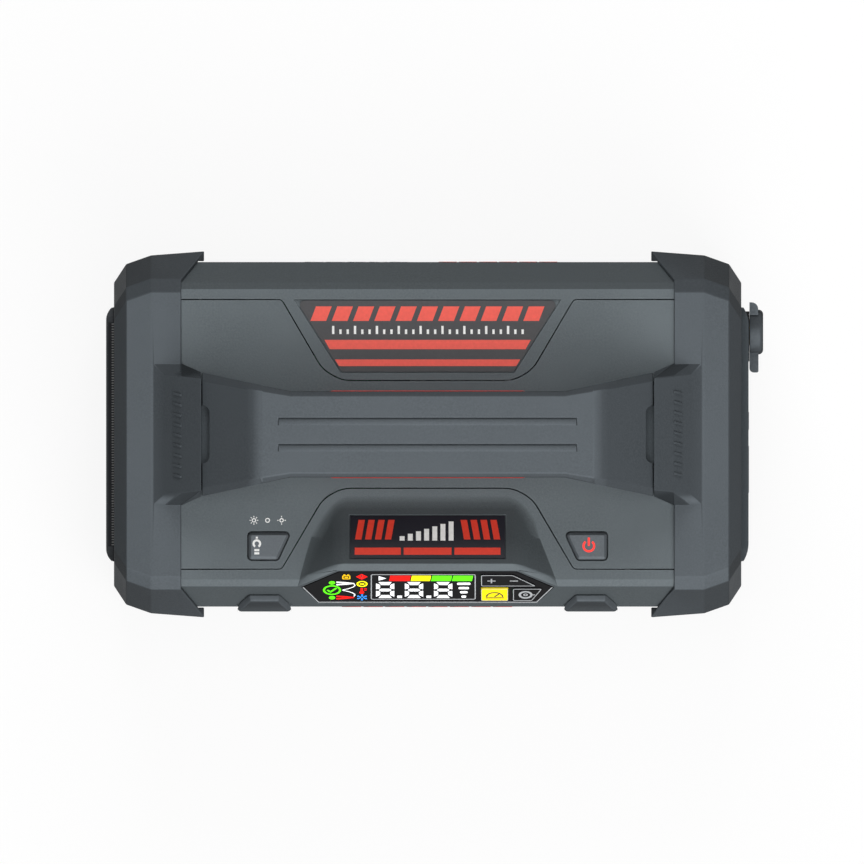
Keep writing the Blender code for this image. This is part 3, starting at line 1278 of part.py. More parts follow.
def make_air_tube(start):
    """Hose from the cylinder head, over the sockets, to the air outlet."""
    end = Vector((CAP_FACE_X - OUTLET_INNER - GAP, OUTLET_Y, OUTLET_Z))
    start = Vector(start)
    high = DECK_HEIGHT - SCOOP_DEPTH - 4 * SHELL_WALL
    bend = HALF_LENGTH - 2 * HOSE_RADIUS
    through = [
        start + Vector((HOSE_RADIUS, 0, 0)),
        Vector((start.x + 2 * HOSE_RADIUS, start.y + HOSE_RADIUS, CRANK_Z + HOSE_RADIUS)),
        Vector((bend, -TRAY_HALF / 2, high - 4 * HOSE_RADIUS)),
        Vector((bend, 0, high)),
        Vector((bend, OUTLET_Y - 5 * HOSE_RADIUS, OUTLET_Z + 4 * HOSE_RADIUS)),
        end - Vector((2 * HOSE_RADIUS, 0, 0)),
        end,
    ]
    hose = bpy.data.curves.new("air_tube", "CURVE")
    hose.dimensions = "3D"
    hose.bevel_depth = HOSE_RADIUS
    hose.bevel_resolution = 2
    hose.use_fill_caps = True
    route = [start, *smooth_route(through, ARC_STEPS)]
    spline = hose.splines.new("POLY")
    spline.points.add(len(route) - 1)
    for point, place in zip(spline.points, route):
        point.co = (*place, 1)
    piece("air_tube", hose, HOSE_BLACK, PACK)


# Assembly

clear_scene()
PARTS = new_collection("jump_starter_pack")
CUTTERS = new_collection("cutters")
PACK = empty("pack_origin", location=(ORIGIN_X, 0, 0))
DISPLAY = empty("display_plane", PACK, (0, -SLOPE_TOP_Y, SLOPE_TOP_Z), (SLOPE, 0, 0))
HOOD_BACK = empty("hood_back_plane", PACK, (0, -HOOD_BACK_Y, DECK_HEIGHT), (-HOOD_BACK_ANGLE, 0, 0))

SHELL_GREY = paint("shell_grey", "676c70", 0.62)
CAP_GREY = paint("cap_grey", "54595e", 0.62)
BUTTON_GREY = paint("button_grey", "62676b", 0.55)
PANEL_GREY = paint("panel_grey", "3c4145", 0.6)
RUBBER = paint("rubber", "4a4f54", 0.8)
RED_RUBBER = paint("red_rubber", "b8322a", 0.75)
BLACK_GLASS = paint("black_glass", "0b0b0d", 0.1)
SMOKED_GLASS = paint("smoked_glass", "141517", 0.2)
YELLOW_KEY = paint("yellow_key", "f2d81e", 0.45)
BLACK_KEY = paint("black_key", "0e0e10", 0.3)
LABEL_BLACK = paint("label_black", "26272a", 0.4)
CLEAR_LENS = paint("clear_lens", "e8eaec", 0.1)
CHROME = paint("chrome", "d8d8d8", 0.15, 1.0)
STEEL = paint("steel", "b4b6b8", 0.35, 1.0)
ALUMINIUM = paint("aluminium", "c4c6c8", 0.4, 1.0)
BRASS = paint("brass", "c09a4a", 0.35, 1.0)
NYLON = paint("nylon", "e6e3da", 0.5)
BOARD_GREEN = paint("board_green", "1f5a38", 0.5)
SOCKET_BLUE = paint("socket_blue", "1c3f8c", 0.5)
SOCKET_BLACK = paint("socket_black", "17181a", 0.5)
TRAY_BLACK = paint("tray_black", "232427", 0.6)
CELL_BLUE = paint("cell_blue", "3a5f9c", 0.35)
HOSE_BLACK = paint("hose_black", "1b1c1e", 0.7)

make_base_pan()
make_feet_and_screws()
make_rear_shell()
make_front_shell()
make_top_deck()
make_end_cap("left_end_cap", -1, panel_outline(LAMP_LOW, LAMP_HIGH, PANEL_NECK_IN))
make_end_cap("right_end_cap", 1, panel_outline(PORT_LOW, PORT_HIGH, PANEL_NECK_IN))
make_handle()
make_guards()
make_display()
make_keys()
make_labels()
make_buttons()
make_lamp()
make_port_panel()
make_cover("jump_cover", jump_outline())
make_cover("usb_cover", usb_cover_outline())
make_sockets()
make_air_outlet()
make_battery()
make_electronics()
make_motor()
make_compressor_frame()
make_crank()
make_piston()
make_cylinder()
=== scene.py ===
"""Looks of a jump starter pack with a built-in tyre inflator.

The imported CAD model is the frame. Here its mouldings get rounded edges, and the printed marks, small
fittings and finishes are added. Metres, +Z up. The display faces the front (-Y), the lamp is on the left
end (-X) and the sockets are on the right end.
"""
import math

import bmesh
import bpy
from mathutils import Matrix, Vector


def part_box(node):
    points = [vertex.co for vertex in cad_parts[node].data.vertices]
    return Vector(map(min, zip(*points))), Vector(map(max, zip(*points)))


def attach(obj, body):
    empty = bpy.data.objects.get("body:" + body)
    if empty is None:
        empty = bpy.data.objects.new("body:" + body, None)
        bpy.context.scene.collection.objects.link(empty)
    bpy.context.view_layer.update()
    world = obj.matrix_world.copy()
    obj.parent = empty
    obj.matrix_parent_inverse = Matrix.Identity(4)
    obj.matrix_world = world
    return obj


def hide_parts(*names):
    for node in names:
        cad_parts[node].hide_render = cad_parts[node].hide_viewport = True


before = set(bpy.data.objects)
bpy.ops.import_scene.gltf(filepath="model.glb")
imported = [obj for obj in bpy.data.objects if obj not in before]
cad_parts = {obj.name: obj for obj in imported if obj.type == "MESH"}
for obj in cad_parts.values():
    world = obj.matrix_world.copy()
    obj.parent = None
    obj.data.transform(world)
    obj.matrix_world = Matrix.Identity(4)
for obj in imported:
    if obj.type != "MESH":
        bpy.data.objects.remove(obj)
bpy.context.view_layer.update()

MM = 0.001
FULL_TURN = 2 * math.pi
SEAM = 0.01 * MM              # corners nearer than this are one
FINE_SEAM = 0.002 * MM
NEAR = 0.1 * MM               # an edge nearer than this is at a place of the CAD

# Places on the body, from its middle and from the ground
BODY_X = -0.0024              # the middle itself
DECK_Z = 0.084
WALL_Y = 0.0591               # front and rear walls
LAMP_FACE = 0.1103            # end faces
PORT_FACE = 0.1101
CAP_FACE = 0.1076
SLOT_FLOOR = 0.096            # height of the slots' floors at the handle ends
HANDLE_BEND = 0.0595          # where the handle's top bends down
HOOD_Y = -0.0234              # rear edge of the display's hood
HOOD_CORNER = (0.0312, HOOD_Y)    # its rear corner on the deck
HOOD_SIDE = (0.0373, -0.0348)     # next corner along its side
DISPLAY_MIDDLE = (-0.0522, 0.0827)
RAMP_MIDDLE = (0.0859, 0.0927)
FOOT_PLACE = (0.068, 0.040)
SCREW_PLACE = (0.078, 0.048)
OUTLET_PLACE = (0.0351, 0.046)    # air outlet on the right end
JUMP_BORES = (-0.0195, -0.0045)   # bores of the jump socket on the right end
JUMP_HEIGHT = 0.047


# Drawing planes: across, up and out of the surface

def plane(origin, across, rise):
    """Matrix of a drawing plane from its origin and two of its directions."""
    across = Vector(across).normalized()
    rise = Vector(rise).normalized()
    out = across.cross(rise)
    return Matrix.Translation(origin) @ Matrix((across, rise, out)).transposed().to_4x4()


def right_end_plane(x, y=0, z=0):
    """Plane that looks to the right, at a distance from the middle of the body."""
    return plane((BODY_X + x, y, z), (0, 1, 0), (0, 0, 1))


def ramp_plane(side):
    """Plane on the handle ramp of the right (1) or the left (-1) end."""
    rise = (-side * math.cos(RAMP_TILT), 0, math.sin(RAMP_TILT))
    return plane((BODY_X + side * RAMP_MIDDLE[0], 0, RAMP_MIDDLE[1]), (0, side, 0), rise)


DISPLAY_TILT = math.radians(58)
HOOD_TILT = math.atan2(0.008, 0.021)      # fall and depth of the hood's back
RAMP_TILT = math.atan2(0.0145, 0.0163)    # rise and run of a ramp
DECK = plane((BODY_X, 0, DECK_Z), (1, 0, 0), (0, 1, 0))
DISPLAY = plane((BODY_X, *DISPLAY_MIDDLE), (1, 0, 0), (0, math.cos(DISPLAY_TILT), math.sin(DISPLAY_TILT)))
HOOD_BACK = plane((BODY_X, HOOD_Y, DECK_Z), (1, 0, 0), (0, math.cos(HOOD_TILT), -math.sin(HOOD_TILT)))
FRONT = plane((BODY_X, -WALL_Y, 0), (1, 0, 0), (0, 0, 1))
REAR = plane((BODY_X, WALL_Y, 0), (-1, 0, 0), (0, 0, 1))
RIGHT_END = right_end_plane(PORT_FACE)
LEFT_END = plane((BODY_X - LAMP_FACE, 0, 0), (0, -1, 0), (0, 0, 1))


# Shader groups that several finishes share

NOISE_BAND = (0.3, 0.7)       # what a noise mostly stays in


def shade(code, level=1.0):
    """Linear colour from six hexadecimal digits, made lighter or darker by a level."""
    channels = []
    for index in (0, 2, 4):
        value = int(code[index:index + 2], 16) / 255
        value = value / 12.92 if value <= 0.04045 else ((value + 0.055) / 1.055) ** 2.4
        channels.append(min(value * level, 1))
    return (*channels, 1)


def place(tree, kind, settings=None, inputs=None):
    """New node with its settings, and with each input set to a value or linked to a socket."""
    made = tree.nodes.new(kind)
    for key, value in (settings or {}).items():
        setattr(made, key, value)
    for key, value in (inputs or {}).items():
        if isinstance(value, bpy.types.NodeSocket):
            tree.links.new(value, made.inputs[key])
        else:
            made.inputs[key].default_value = value
    return made


def math_node(tree, operation, first, second):
    """Result of a sum or the like on two values."""
    return place(tree, "ShaderNodeMath", {"operation": operation}, {0: first, 1: second}).outputs[0]


def spread(tree, value, low, high, start=0.0, end=1.0):
    """Value from the range start to end, spread over low to high."""
    limits = {"Value": value, "From Min": start, "From Max": end, "To Min": low, "To Max": high}
    return place(tree, "ShaderNodeMapRange", None, limits).outputs["Result"]


def blend(tree, mask, first, second):
    """Colour that goes from the first to the second with a mask."""
    mixed = place(tree, "ShaderNodeMix", {"data_type": "RGBA"}, {0: mask, 6: first, 7: second})
    return mixed.outputs[2]


def noise(tree, where, scale, detail=2.0, roughness=0.5):
    """Cloudy noise of a scale, from nought to one."""
    values = {"Vector": where, "Scale": scale, "Detail": detail, "Roughness": roughness}
    return place(tree, "ShaderNodeTexNoise", None, values).outputs["Fac"]


def dot(tree, first, second):
    """How far two directions agree."""
    both = {0: first, 1: second}
    return place(tree, "ShaderNodeVectorMath", {"operation": "DOT_PRODUCT"}, both).outputs["Value"]


def on_piece(tree):
    """Place on the piece itself."""
    return place(tree, "ShaderNodeTexCoord").outputs["Object"]


def open_group(name, inputs, outputs):
    """Empty shader group with named sockets, and its two end nodes."""
    group = bpy.data.node_groups.new(name, "ShaderNodeTree")
    for label, value in inputs.items():
        group.interface.new_socket(label, in_out="INPUT", socket_type="NodeSocketFloat").default_value = value
    for label in outputs:
        group.interface.new_socket(label, in_out="OUTPUT", socket_type="NodeSocketFloat")
    return group, place(group, "NodeGroupInput").outputs, place(group, "NodeGroupOutput").inputs


def make_grain():
    """Fine spark-eroded grain of a moulding."""
    group, given, result = open_group("mould_grain", {"Scale": 2400.0}, ("Height", "Tone"))
    where = on_piece(group)
    fine = noise(group, where, given["Scale"], 2.0, 0.6)
    cells = place(group, "ShaderNodeTexVoronoi", None, {"Vector": where, "Scale": given["Scale"]})
    height = math_node(group, "ADD", fine, math_node(group, "MULTIPLY", cells.outputs["Distance"], 0.6))
    group.links.new(height, result["Height"])
    coarse = noise(group, where, math_node(group, "MULTIPLY", given["Scale"], 0.6), 3.0)
    group.links.new(spread(group, coarse, 0.0, 1.0, *NOISE_BAND), result["Tone"])
    return group


def make_edge_wear():
    """Mask along the edges of a piece, broken up as handling does it."""
    group, given, result = open_group("edge_wear", {"Radius": 0.0009}, ("Mask",))
    soft = place(group, "ShaderNodeBevel", {"samples": 4}, {"Radius": given["Radius"]}).outputs["Normal"]
    flat = place(group, "ShaderNodeNewGeometry").outputs["Normal"]
    edge = spread(group, dot(group, soft, flat), 1.0, 0.0, 0.80, 0.995)
    where = on_piece(group)
    broken = spread(group, noise(group, where, 260.0, 4.0, 0.6), 0.35, 1.0, 0.35, 0.6)
    group.links.new(math_node(group, "MULTIPLY", edge, broken), result["Mask"])
    return group


def make_smudge():
    """Broad soft patches, as hands and storage leave them."""
    group, given, result = open_group("smudge", {"Scale": 45.0}, ("Tone",))
    where = on_piece(group)
    patches = noise(group, where, given["Scale"], 4.0, 0.55)
    group.links.new(spread(group, patches, 0.0, 1.0, *NOISE_BAND), result["Tone"])
    return group


def make_painted_sheen_and_shade():
    """Mask of a painted sheen on faces that look up and a little to the front.

    The shade is painted shade that darkens steep facets, though hardly upright walls, and faces that look to
    the rear.
    """
    group, _, result = open_group("painted_sheen_and_shade", {}, ("Mask", "Shade"))
    facing = place(group, "ShaderNodeNewGeometry").outputs["Normal"]
    upward = dot(group, facing, (0.0, -0.34, 0.94))
    where = on_piece(group)
    broken = spread(group, noise(group, where, 30.0, 5.0, 0.6), 0.86, 1.0, 0.35, 0.65)
    # Painted sheen, strongest on faces that look up and to the front
    film = spread(group, upward, 0.0, 1.0, 0.86, 0.985)
    group.links.new(math_node(group, "MULTIPLY", film, broken), result["Mask"])
    parts = place(group, "ShaderNodeSeparateXYZ", None, {0: facing}).outputs
    steep = spread(group, parts["Z"], -0.5, 0.0, 0.40, 0.53)
    upright = spread(group, parts["Z"], 0.45, 0.0, 0.05, 0.30)
    rear = spread(group, parts["Y"], 0.0, -0.22, 0.15, 0.35)
    group.links.new(math_node(group, "ADD", math_node(group, "ADD", steep, upright), rear), result["Shade"])
    return group


def make_brushing():
    """Fine lines along X, as turning and brushing leave them on metal."""
    group, given, result = open_group("brushing", {"Scale": 1.0}, ("Height", "Tone"))
    where = on_piece(group)
    stretch = (120.0, 5200.0, 5200.0)
    drawn = place(group, "ShaderNodeVectorMath", {"operation": "MULTIPLY"}, {0: where, 1: stretch}).outputs[0]
    sized = {0: drawn, "Scale": given["Scale"]}
    scaled = place(group, "ShaderNodeVectorMath", {"operation": "SCALE"}, sized).outputs[0]
    lines = noise(group, scaled, 1.0, 3.0, 0.6)
    group.links.new(lines, result["Height"])
    group.links.new(spread(group, lines, 0.0, 1.0, *NOISE_BAND), result["Tone"])
    return group


GRAIN = make_grain()
EDGE_WEAR = make_edge_wear()
SMUDGE = make_smudge()
SHEEN_AND_SHADE = make_painted_sheen_and_shade()
BRUSHING = make_brushing()


# Finishes

WORN_SHARE = 0.55             # how much of the paler tone worn edges take


def open_finish(name):
    """New material, with its node tree and its shader."""
    material = bpy.data.materials.new(name)
    material.use_nodes = True
    tree = material.node_tree
    return material, tree, tree.nodes["Principled BSDF"]


def effect(tree, group, **values):
    """Outputs of a shader group, placed with values of its own."""
    return place(tree, "ShaderNodeGroup", {"node_tree": group}, values).outputs


def bump(tree, shader, height, distance, strength=0.6):
    """Relief of a height map, with its depth in metres."""
    values = {"Height": height, "Distance": distance, "Strength": strength}
    tree.links.new(place(tree, "ShaderNodeBump", None, values).outputs["Normal"], shader.inputs["Normal"])


def feed(tree, shader, colour, roughness):
    """Links a colour and a roughness to the shader."""
    tree.links.new(colour, shader.inputs["Base Color"])
    tree.links.new(roughness, shader.inputs["Roughness"])


def moulded(name, code, roughness=0.56, scale=2400.0, depth=0.00009, worn=1.4, gloss=0.1, contrast=0.11,
            painted_sheen=0.0):
    """Grained plastic or rubber with paler, slightly polished edges, and perhaps painted sheen and shade."""
    material, tree, shader = open_finish(name)
    grain = effect(tree, GRAIN, Scale=scale)
    smudge = effect(tree, SMUDGE)
    speckled = blend(tree, grain["Tone"], shade(code, 1 - contrast), shade(code, 1 + contrast))
    handled = blend(tree, smudge["Tone"], speckled, shade(code, 1 + contrast / 2))
    edge = math_node(tree, "MULTIPLY", effect(tree, EDGE_WEAR)["Mask"], WORN_SHARE)
    colour = blend(tree, edge, handled, shade(code, worn))
    # Painted light: a sheen on faces that look up, and painted shade on steep and rear faces
    if painted_sheen:
        film = effect(tree, SHEEN_AND_SHADE)
        tone = math_node(tree, "ADD", spread(tree, film["Mask"], 1.0, painted_sheen), film["Shade"])
        multiply = {"data_type": "RGBA", "blend_type": "MULTIPLY"}
        colour = place(tree, "ShaderNodeMix", multiply, {0: 1.0, 6: colour, 7: tone}).outputs[2]
    feed(tree, shader, colour, spread(tree, smudge["Tone"], roughness - 0.05, roughness + 0.05))
    shader.inputs["Specular IOR Level"].default_value = gloss
    bump(tree, shader, grain["Height"], depth)
    return material


def glossy(name, code, roughness=0.12, gloss=0.2):
    """Smooth glass or lacquer with faint finger smears."""
    material, tree, shader = open_finish(name)
    smudge = effect(tree, SMUDGE, Scale=110.0)
    smeared = blend(tree, smudge["Tone"], shade(code), shade(code, 1.25))
    feed(tree, shader, smeared, spread(tree, smudge["Tone"], roughness, roughness + 0.10))
    shader.inputs["Specular IOR Level"].default_value = gloss
    bump(tree, shader, smudge["Tone"], 0.00002, 0.15)
    return material


def printed_ink(name, code, glow=0.0):
    """Screen-printed ink, which can be lit from behind."""
    material, tree, shader = open_finish(name)
    grain = effect(tree, GRAIN, Scale=1500.0)
    ink = blend(tree, grain["Tone"], shade(code, 0.94), shade(code, 1.04))
    feed(tree, shader, ink, spread(tree, grain["Tone"], 0.42, 0.52))
    shader.inputs["Specular IOR Level"].default_value = 0.05 if glow else 0.2
    if glow:
        tree.links.new(ink, shader.inputs["Emission Color"])
        shader.inputs["Emission Strength"].default_value = glow
    bump(tree, shader, grain["Height"], 0.00001, 0.3)
    return material


def metal(name, code, roughness=0.3, scale=1.0):
    """Turned or brushed metal."""
    material, tree, shader = open_finish(name)
    lines = effect(tree, BRUSHING, Scale=scale)
    smudge = effect(tree, SMUDGE, Scale=80.0)
    toned = blend(tree, lines["Tone"], shade(code, 0.9), shade(code, 1.06))
    feed(tree, shader, toned, spread(tree, smudge["Tone"], roughness - 0.06, roughness + 0.08))
    shader.inputs["Metallic"].default_value = 1.0
    bump(tree, shader, lines["Height"], 0.00002, 0.35)
    return material


def clear_lens(name, code):
    """Clear moulded lens with fine flutes up and down."""
    material, tree, shader = open_finish(name)
    where = on_piece(tree)
    flutes = place(tree, "ShaderNodeTexWave", {"bands_direction": "Y"}, {"Vector": where, "Scale": 160.0})
    smudge = effect(tree, SMUDGE, Scale=90.0)
    tinted = blend(tree, smudge["Tone"], shade(code), shade(code, 0.96))
    feed(tree, shader, tinted, spread(tree, smudge["Tone"], 0.05, 0.12))
    shader.inputs["Transmission Weight"].default_value = 0.92
    shader.inputs["IOR"].default_value = 1.49
    bump(tree, shader, flutes.outputs["Fac"], 0.0004, 0.6)
    return material


def circuit_board(name, code):
    """Green solder mask over a net of copper tracks."""
    material, tree, shader = open_finish(name)
    where = on_piece(tree)
    tracks = {"Vector": where, "Scale": 130.0, "Mortar Size": 0.03}
    mask = place(tree, "ShaderNodeTexBrick", {"offset": 0.35}, tracks).outputs["Fac"]
    feed(tree, shader, blend(tree, mask, shade(code), shade(code, 1.7)), spread(tree, mask, 0.35, 0.5))
    bump(tree, shader, mask, 0.00004, 0.4)
    return material


def wrapped_cell(name, code):
    """Shrink film around a flat cell, with soft creases."""
    material, tree, shader = open_finish(name)
    where = on_piece(tree)
    creases = noise(tree, where, 140.0, 5.0, 0.6)
    smudge = effect(tree, SMUDGE)
    toned = blend(tree, smudge["Tone"], shade(code, 0.9), shade(code, 1.1))
    feed(tree, shader, toned, spread(tree, creases, 0.2, 0.4))
    bump(tree, shader, creases, 0.0006, 0.5)
    return material


SHELL_GREY = moulded("shell_grey", "51575a", gloss=0.06, painted_sheen=1.9)
CAP_GREY = moulded("cap_grey", "474c50", gloss=0.06, painted_sheen=1.86)
BUTTON_GREY = moulded("button_grey", "54595d", roughness=0.5, painted_sheen=1.9)
PANEL_GREY = moulded("panel_grey", "3e4448", roughness=0.5)
BEZEL_GREY = moulded("bezel_grey", "3a3d40", roughness=0.5)
# Paler than the ribs are, as a painted highlight: they stand in the cap's shade
RIB_HIGHLIGHT_GREY = moulded("rib_painted_highlight", "7c7d7d", roughness=0.6)
RUBBER = moulded("rubber", "4b5054", roughness=0.72, scale=1700.0, worn=1.25, gloss=0.1, painted_sheen=1.8)
FOOT_RUBBER = moulded("foot_rubber", "232427", roughness=0.8, scale=1500.0, worn=1.3, gloss=0.2)
RED_RUBBER = moulded("red_rubber", "c2352b", roughness=0.65, scale=1700.0, worn=1.2, gloss=0.2)
BLACK_GLASS = glossy("black_glass", "101012", 0.12, 0.05)
SMOKED_GLASS = glossy("smoked_glass", "141517", 0.18)
YELLOW_KEY = printed_ink("yellow_key", "ffe41c", 0.4)
BLACK_KEY = moulded("black_key", "131315", roughness=0.35, depth=0.00003, worn=1.6, gloss=0.05)
PRINTED_FILM = {"scale": 1400.0, "depth": 0.00002, "worn": 1.15, "gloss": 0.2}
LABEL_FILM = moulded("label_film", "17171f", roughness=0.42, **PRINTED_FILM)
# Paler than the console's label film by a painted sheen
REAR_FILM_SHEEN = moulded("rear_film_painted_sheen", "474749", roughness=0.5, **PRINTED_FILM)
CLEAR_LENS = clear_lens("clear_lens", "f2f4f6")
REFLECTOR = metal("reflector", "d9dadc", 0.12, 0.4)
BOARD_GREEN = circuit_board("board_green", "1f5a38")
SOCKET_BLUE = moulded("socket_blue", "1d428f", roughness=0.45, worn=1.3)
PART_BLACK = moulded("part_black", "1b1c1e", roughness=0.5, worn=1.5)
STEEL = metal("steel", "b6b8ba", 0.32)
BRASS = metal("brass", "c39d4e", 0.3)
ALUMINIUM = metal("aluminium", "c6c8ca", 0.38)
NYLON = moulded("nylon", "e4e1d8", roughness=0.45, worn=1.05, contrast=0.03)
CELL_FILM = wrapped_cell("cell_film", "3a5f9c")
HOSE_BLACK = moulded("hose_black", "1c1d1f", roughness=0.65, scale=1300.0, worn=1.3)
INK_WHITE = printed_ink("ink_white", "f4f4f2")
# Paler than the console's red by a painted sheen
RED_INK_SHEEN = printed_ink("red_ink_painted_sheen", "ef6256")
CONSOLE_RED = printed_ink("console_red", "e0402f")
INK_DARK = printed_ink("ink_dark", "343436")
LINE_GREY = printed_ink("line_grey", "b9bcbf", 0.15)
LIT_WHITE = printed_ink("lit_white", "f6f8fa", 0.75)
LIT_RED = printed_ink("lit_red", "fb1d18", 0.75)
LIT_YELLOW = printed_ink("lit_yellow", "fdf318", 0.7)
LIT_GREEN = printed_ink("lit_green", "62f51c", 0.7)
LIT_BLUE = printed_ink("lit_blue", "3f9bf2", 0.7)
LIT_AMBER = printed_ink("lit_amber", "f5c21a", 0.55)
POWER_RED = printed_ink("power_red", "ff4a44", 0.35)
CHIP_YELLOW = moulded("chip_yellow", "f1d65c", roughness=0.35, worn=1.1)


# Modelling tools

MOULDING_FOLD = 25            # degrees; a moulding's shading breaks at a sharper fold
EDGE_STEPS = 3                # facets of a rounded edge, and of one that is rounded first
FIRST_STEPS = 6
PRINT_SINK = 0.02             # prints start this far under a face, in millimetres,
PRINT_DEPTH = 0.06            # and are this thick


def only(kind, items):
    """Vertices, edges or faces among what an operator gives."""
    return [item for item in items if isinstance(item, kind)]


def settle(name, shaped, finish, body="housing", stands_for=(), smooth=35):
    """Finished piece from a bmesh, riding on a body and perhaps standing for CAD nodes."""
    mesh = bpy.data.meshes.new(name)
    shaped.to_mesh(mesh)
    shaped.free()
    mesh.materials.append(finish)
    mesh.shade_smooth()
    mesh.set_sharp_from_angle(angle=math.radians(smooth))
    thing = bpy.data.objects.new(name, mesh)
    bpy.context.scene.collection.objects.link(thing)
    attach(thing, body)
    if stands_for:
        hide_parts(*stands_for)
    return thing


def soften_edges(shaped, lines, size, steps, meeting="SHARP"):
    """Rounds edges by a size in millimetres. Where they meet, the corner is sharp or an arc."""
    bmesh.ops.bevel(shaped, geom=lines, offset=size * MM, offset_type="OFFSET", segments=steps, profile=0.5,
                    affect="EDGES", material=-1, clamp_overlap=False,
                    miter_outer=meeting, miter_inner=meeting, spread=size * MM / 2)


def folded(line, degrees):
    """Whether the faces at an edge turn by more than an angle."""
    return line.calc_face_angle() > math.radians(degrees)


def along(line, direction):
    """Whether an edge runs along a direction."""
    run = (line.verts[1].co - line.verts[0].co).normalized()
    return abs(run.dot(Vector(direction))) > 0.995


def moulding(node, finish, edge, shortest=0.0, body="housing", sharp=30, first=None):
    """Copy of a CAD node with rounded outer edges.

    Edges that are longer than the shortest and folded by more than the sharp angle are rounded by the size
    edge, in millimetres. Those that pass a first test come before them, with a size and corners of their own.
    """
    shaped = bmesh.new()
    shaped.from_mesh(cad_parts[node].data)
    bmesh.ops.remove_doubles(shaped, verts=shaped.verts, dist=SEAM)
    bmesh.ops.dissolve_limit(shaped, angle_limit=math.radians(1), verts=shaped.verts, edges=shaped.edges)
    if first:
        chosen, size, meeting = first
        picked = [line for line in shaped.edges if line.is_manifold and chosen(line)]
        soften_edges(shaped, picked, size, FIRST_STEPS, meeting)
    outer = [line for line in shaped.edges if line.is_manifold and line.is_convex]
    long_enough = [line for line in outer if line.calc_length() > shortest * MM]
    soften_edges(shaped, [line for line in long_enough if folded(line, sharp)], edge, EDGE_STEPS)
    # Edges of no length would let the shading run over a fold
    bmesh.ops.dissolve_degenerate(shaped, dist=SEAM, edges=shaped.edges)
    thing = settle(node + "_moulding", shaped, finish, body, (node,), MOULDING_FOLD)
    thing.modifiers.new("Even shading", "WEIGHTED_NORMAL").keep_sharp = True


def coat(finish, *nodes):
    """New finish on CAD nodes that stay as they are."""
    for name in nodes:
        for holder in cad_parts[name].material_slots:
            holder.material = finish


def patch(shaped, outline, soft=0.0):
    """Flat patch in millimetres, with its corners rounded if asked. Gives the new faces."""
    known = set(shaped.faces)
    flat = shaped.faces.new([shaped.verts.new((u, v, 0)) for u, v in outline])
    if soft:
        bmesh.ops.bevel(shaped, geom=list(flat.verts), offset=soft, offset_type="OFFSET", segments=5,
                        profile=0.5, affect="VERTICES", material=-1)
    return [face for face in shaped.faces if face not in known]


def row(first, pitch, count):
    """Places at an equal pitch."""
    return [first + index * pitch for index in range(count)]


def centred_row(pitch, count):
    """Places at an equal pitch on both sides of nought."""
    return [(index - count // 2) * pitch for index in range(count)]


def rectangle(left, low, right, high):
    """Outline between two corners."""
    return [(left, low), (right, low), (right, high), (left, high)]


def bar(shaped, left, low, right, high, slant=0.0, soft=0.0):
    """Flat bar, with its top moved sideways by a slant."""
    return patch(shaped, [(left, low), (right, low), (right + slant, high), (left + slant, high)], soft)


def line_around(shaped, outline, width, soft=0.0):
    """Thin closed line just inside an outline."""
    inside = patch(shaped, outline, soft)
    bmesh.ops.inset_region(shaped, faces=inside, thickness=width, use_even_offset=True, use_boundary=True)
    bmesh.ops.delete(shaped, geom=inside, context="FACES")


def disc(shaped, centre, radius, sides=28):
    """Flat disc."""
    where = Matrix.Translation((*centre, 0))
    bmesh.ops.create_circle(shaped, cap_ends=True, segments=sides, radius=radius, matrix=where)


def arc(shaped, centre, outer, inner, start=0.0, sweep=FULL_TURN, steps=32):
    """Flat ring or part of one, spun from a short edge."""
    ray = (math.cos(start), math.sin(start))
    ends = [shaped.verts.new((centre[0] + r * ray[0], centre[1] + r * ray[1], 0)) for r in (outer, inner)]
    edge = shaped.edges.new(ends)
    bmesh.ops.spin(shaped, geom=[*ends, edge], cent=(*centre, 0), axis=(0, 0, 1), angle=sweep, steps=steps,
                   use_merge=sweep == FULL_TURN)


def stroke(shaped, start, end, width):
    """Straight line of a width between two places."""
    start, end = Vector(start), Vector(end)
    run = (end - start).normalized()
    side = Vector((-run.y, run.x)) * width / 2
    patch(shaped, [start - side, end - side, end + side, start + side])


def rays(shaped, centre, inner, outer, count, width, first=0.0):
    """Short strokes around a centre."""
    for index in range(count):
        turn = first + FULL_TURN * index / count
        ray = Vector((math.cos(turn), math.sin(turn)))
        stroke(shaped, Vector(centre) + inner * ray, Vector(centre) + outer * ray, width)


def raised(name, where, finish, slot, draw, base=-PRINT_SINK, height=PRINT_DEPTH, body="housing", edge=0.0):
    """Marks drawn on a plane in millimetres, as shapes that go from a base to a height above it."""
    shaped = bmesh.new()
    draw(shaped)
    lifted = bmesh.ops.extrude_face_region(shaped, geom=shaped.faces[:])["geom"]
    bmesh.ops.translate(shaped, verts=only(bmesh.types.BMVert, lifted), vec=(0, 0, height))
    if edge:
        upright = 1           # radians; the rim's faces turn by more
        rim = [line for line in only(bmesh.types.BMEdge, lifted) if line.calc_face_angle(0) > upright]
        bmesh.ops.bevel(shaped, geom=rim, offset=edge, offset_type="OFFSET", segments=2, profile=0.5,
                        affect="EDGES", material=-1)
    bmesh.ops.translate(shaped, verts=shaped.verts, vec=(0, 0, base))
    bmesh.ops.scale(shaped, verts=shaped.verts, vec=(MM, MM, MM))
    bmesh.ops.transform(shaped, verts=shaped.verts, matrix=where)
    bmesh.ops.recalc_face_normals(shaped, faces=shaped.faces)
    settle(name, shaped, finish, body)


def turned(shaped, profile, where, steps=40):
    """Turned shape from a profile of radii and heights in millimetres, about the plane's outward axis."""
    points = [shaped.verts.new((radius * MM, 0, height * MM)) for radius, height in profile]
    edges = [shaped.edges.new(pair) for pair in zip(points, points[1:])]
    bmesh.ops.spin(shaped, geom=points + edges, cent=(0, 0, 0), axis=(0, 0, 1), angle=FULL_TURN, steps=steps,
                   use_merge=True)
    # A tag keeps what was turned before in its place
    moved = [vertex for vertex in shaped.verts if not vertex.tag]
    bmesh.ops.transform(shaped, verts=moved, matrix=where)
    for vertex in moved:
        vertex.tag = True


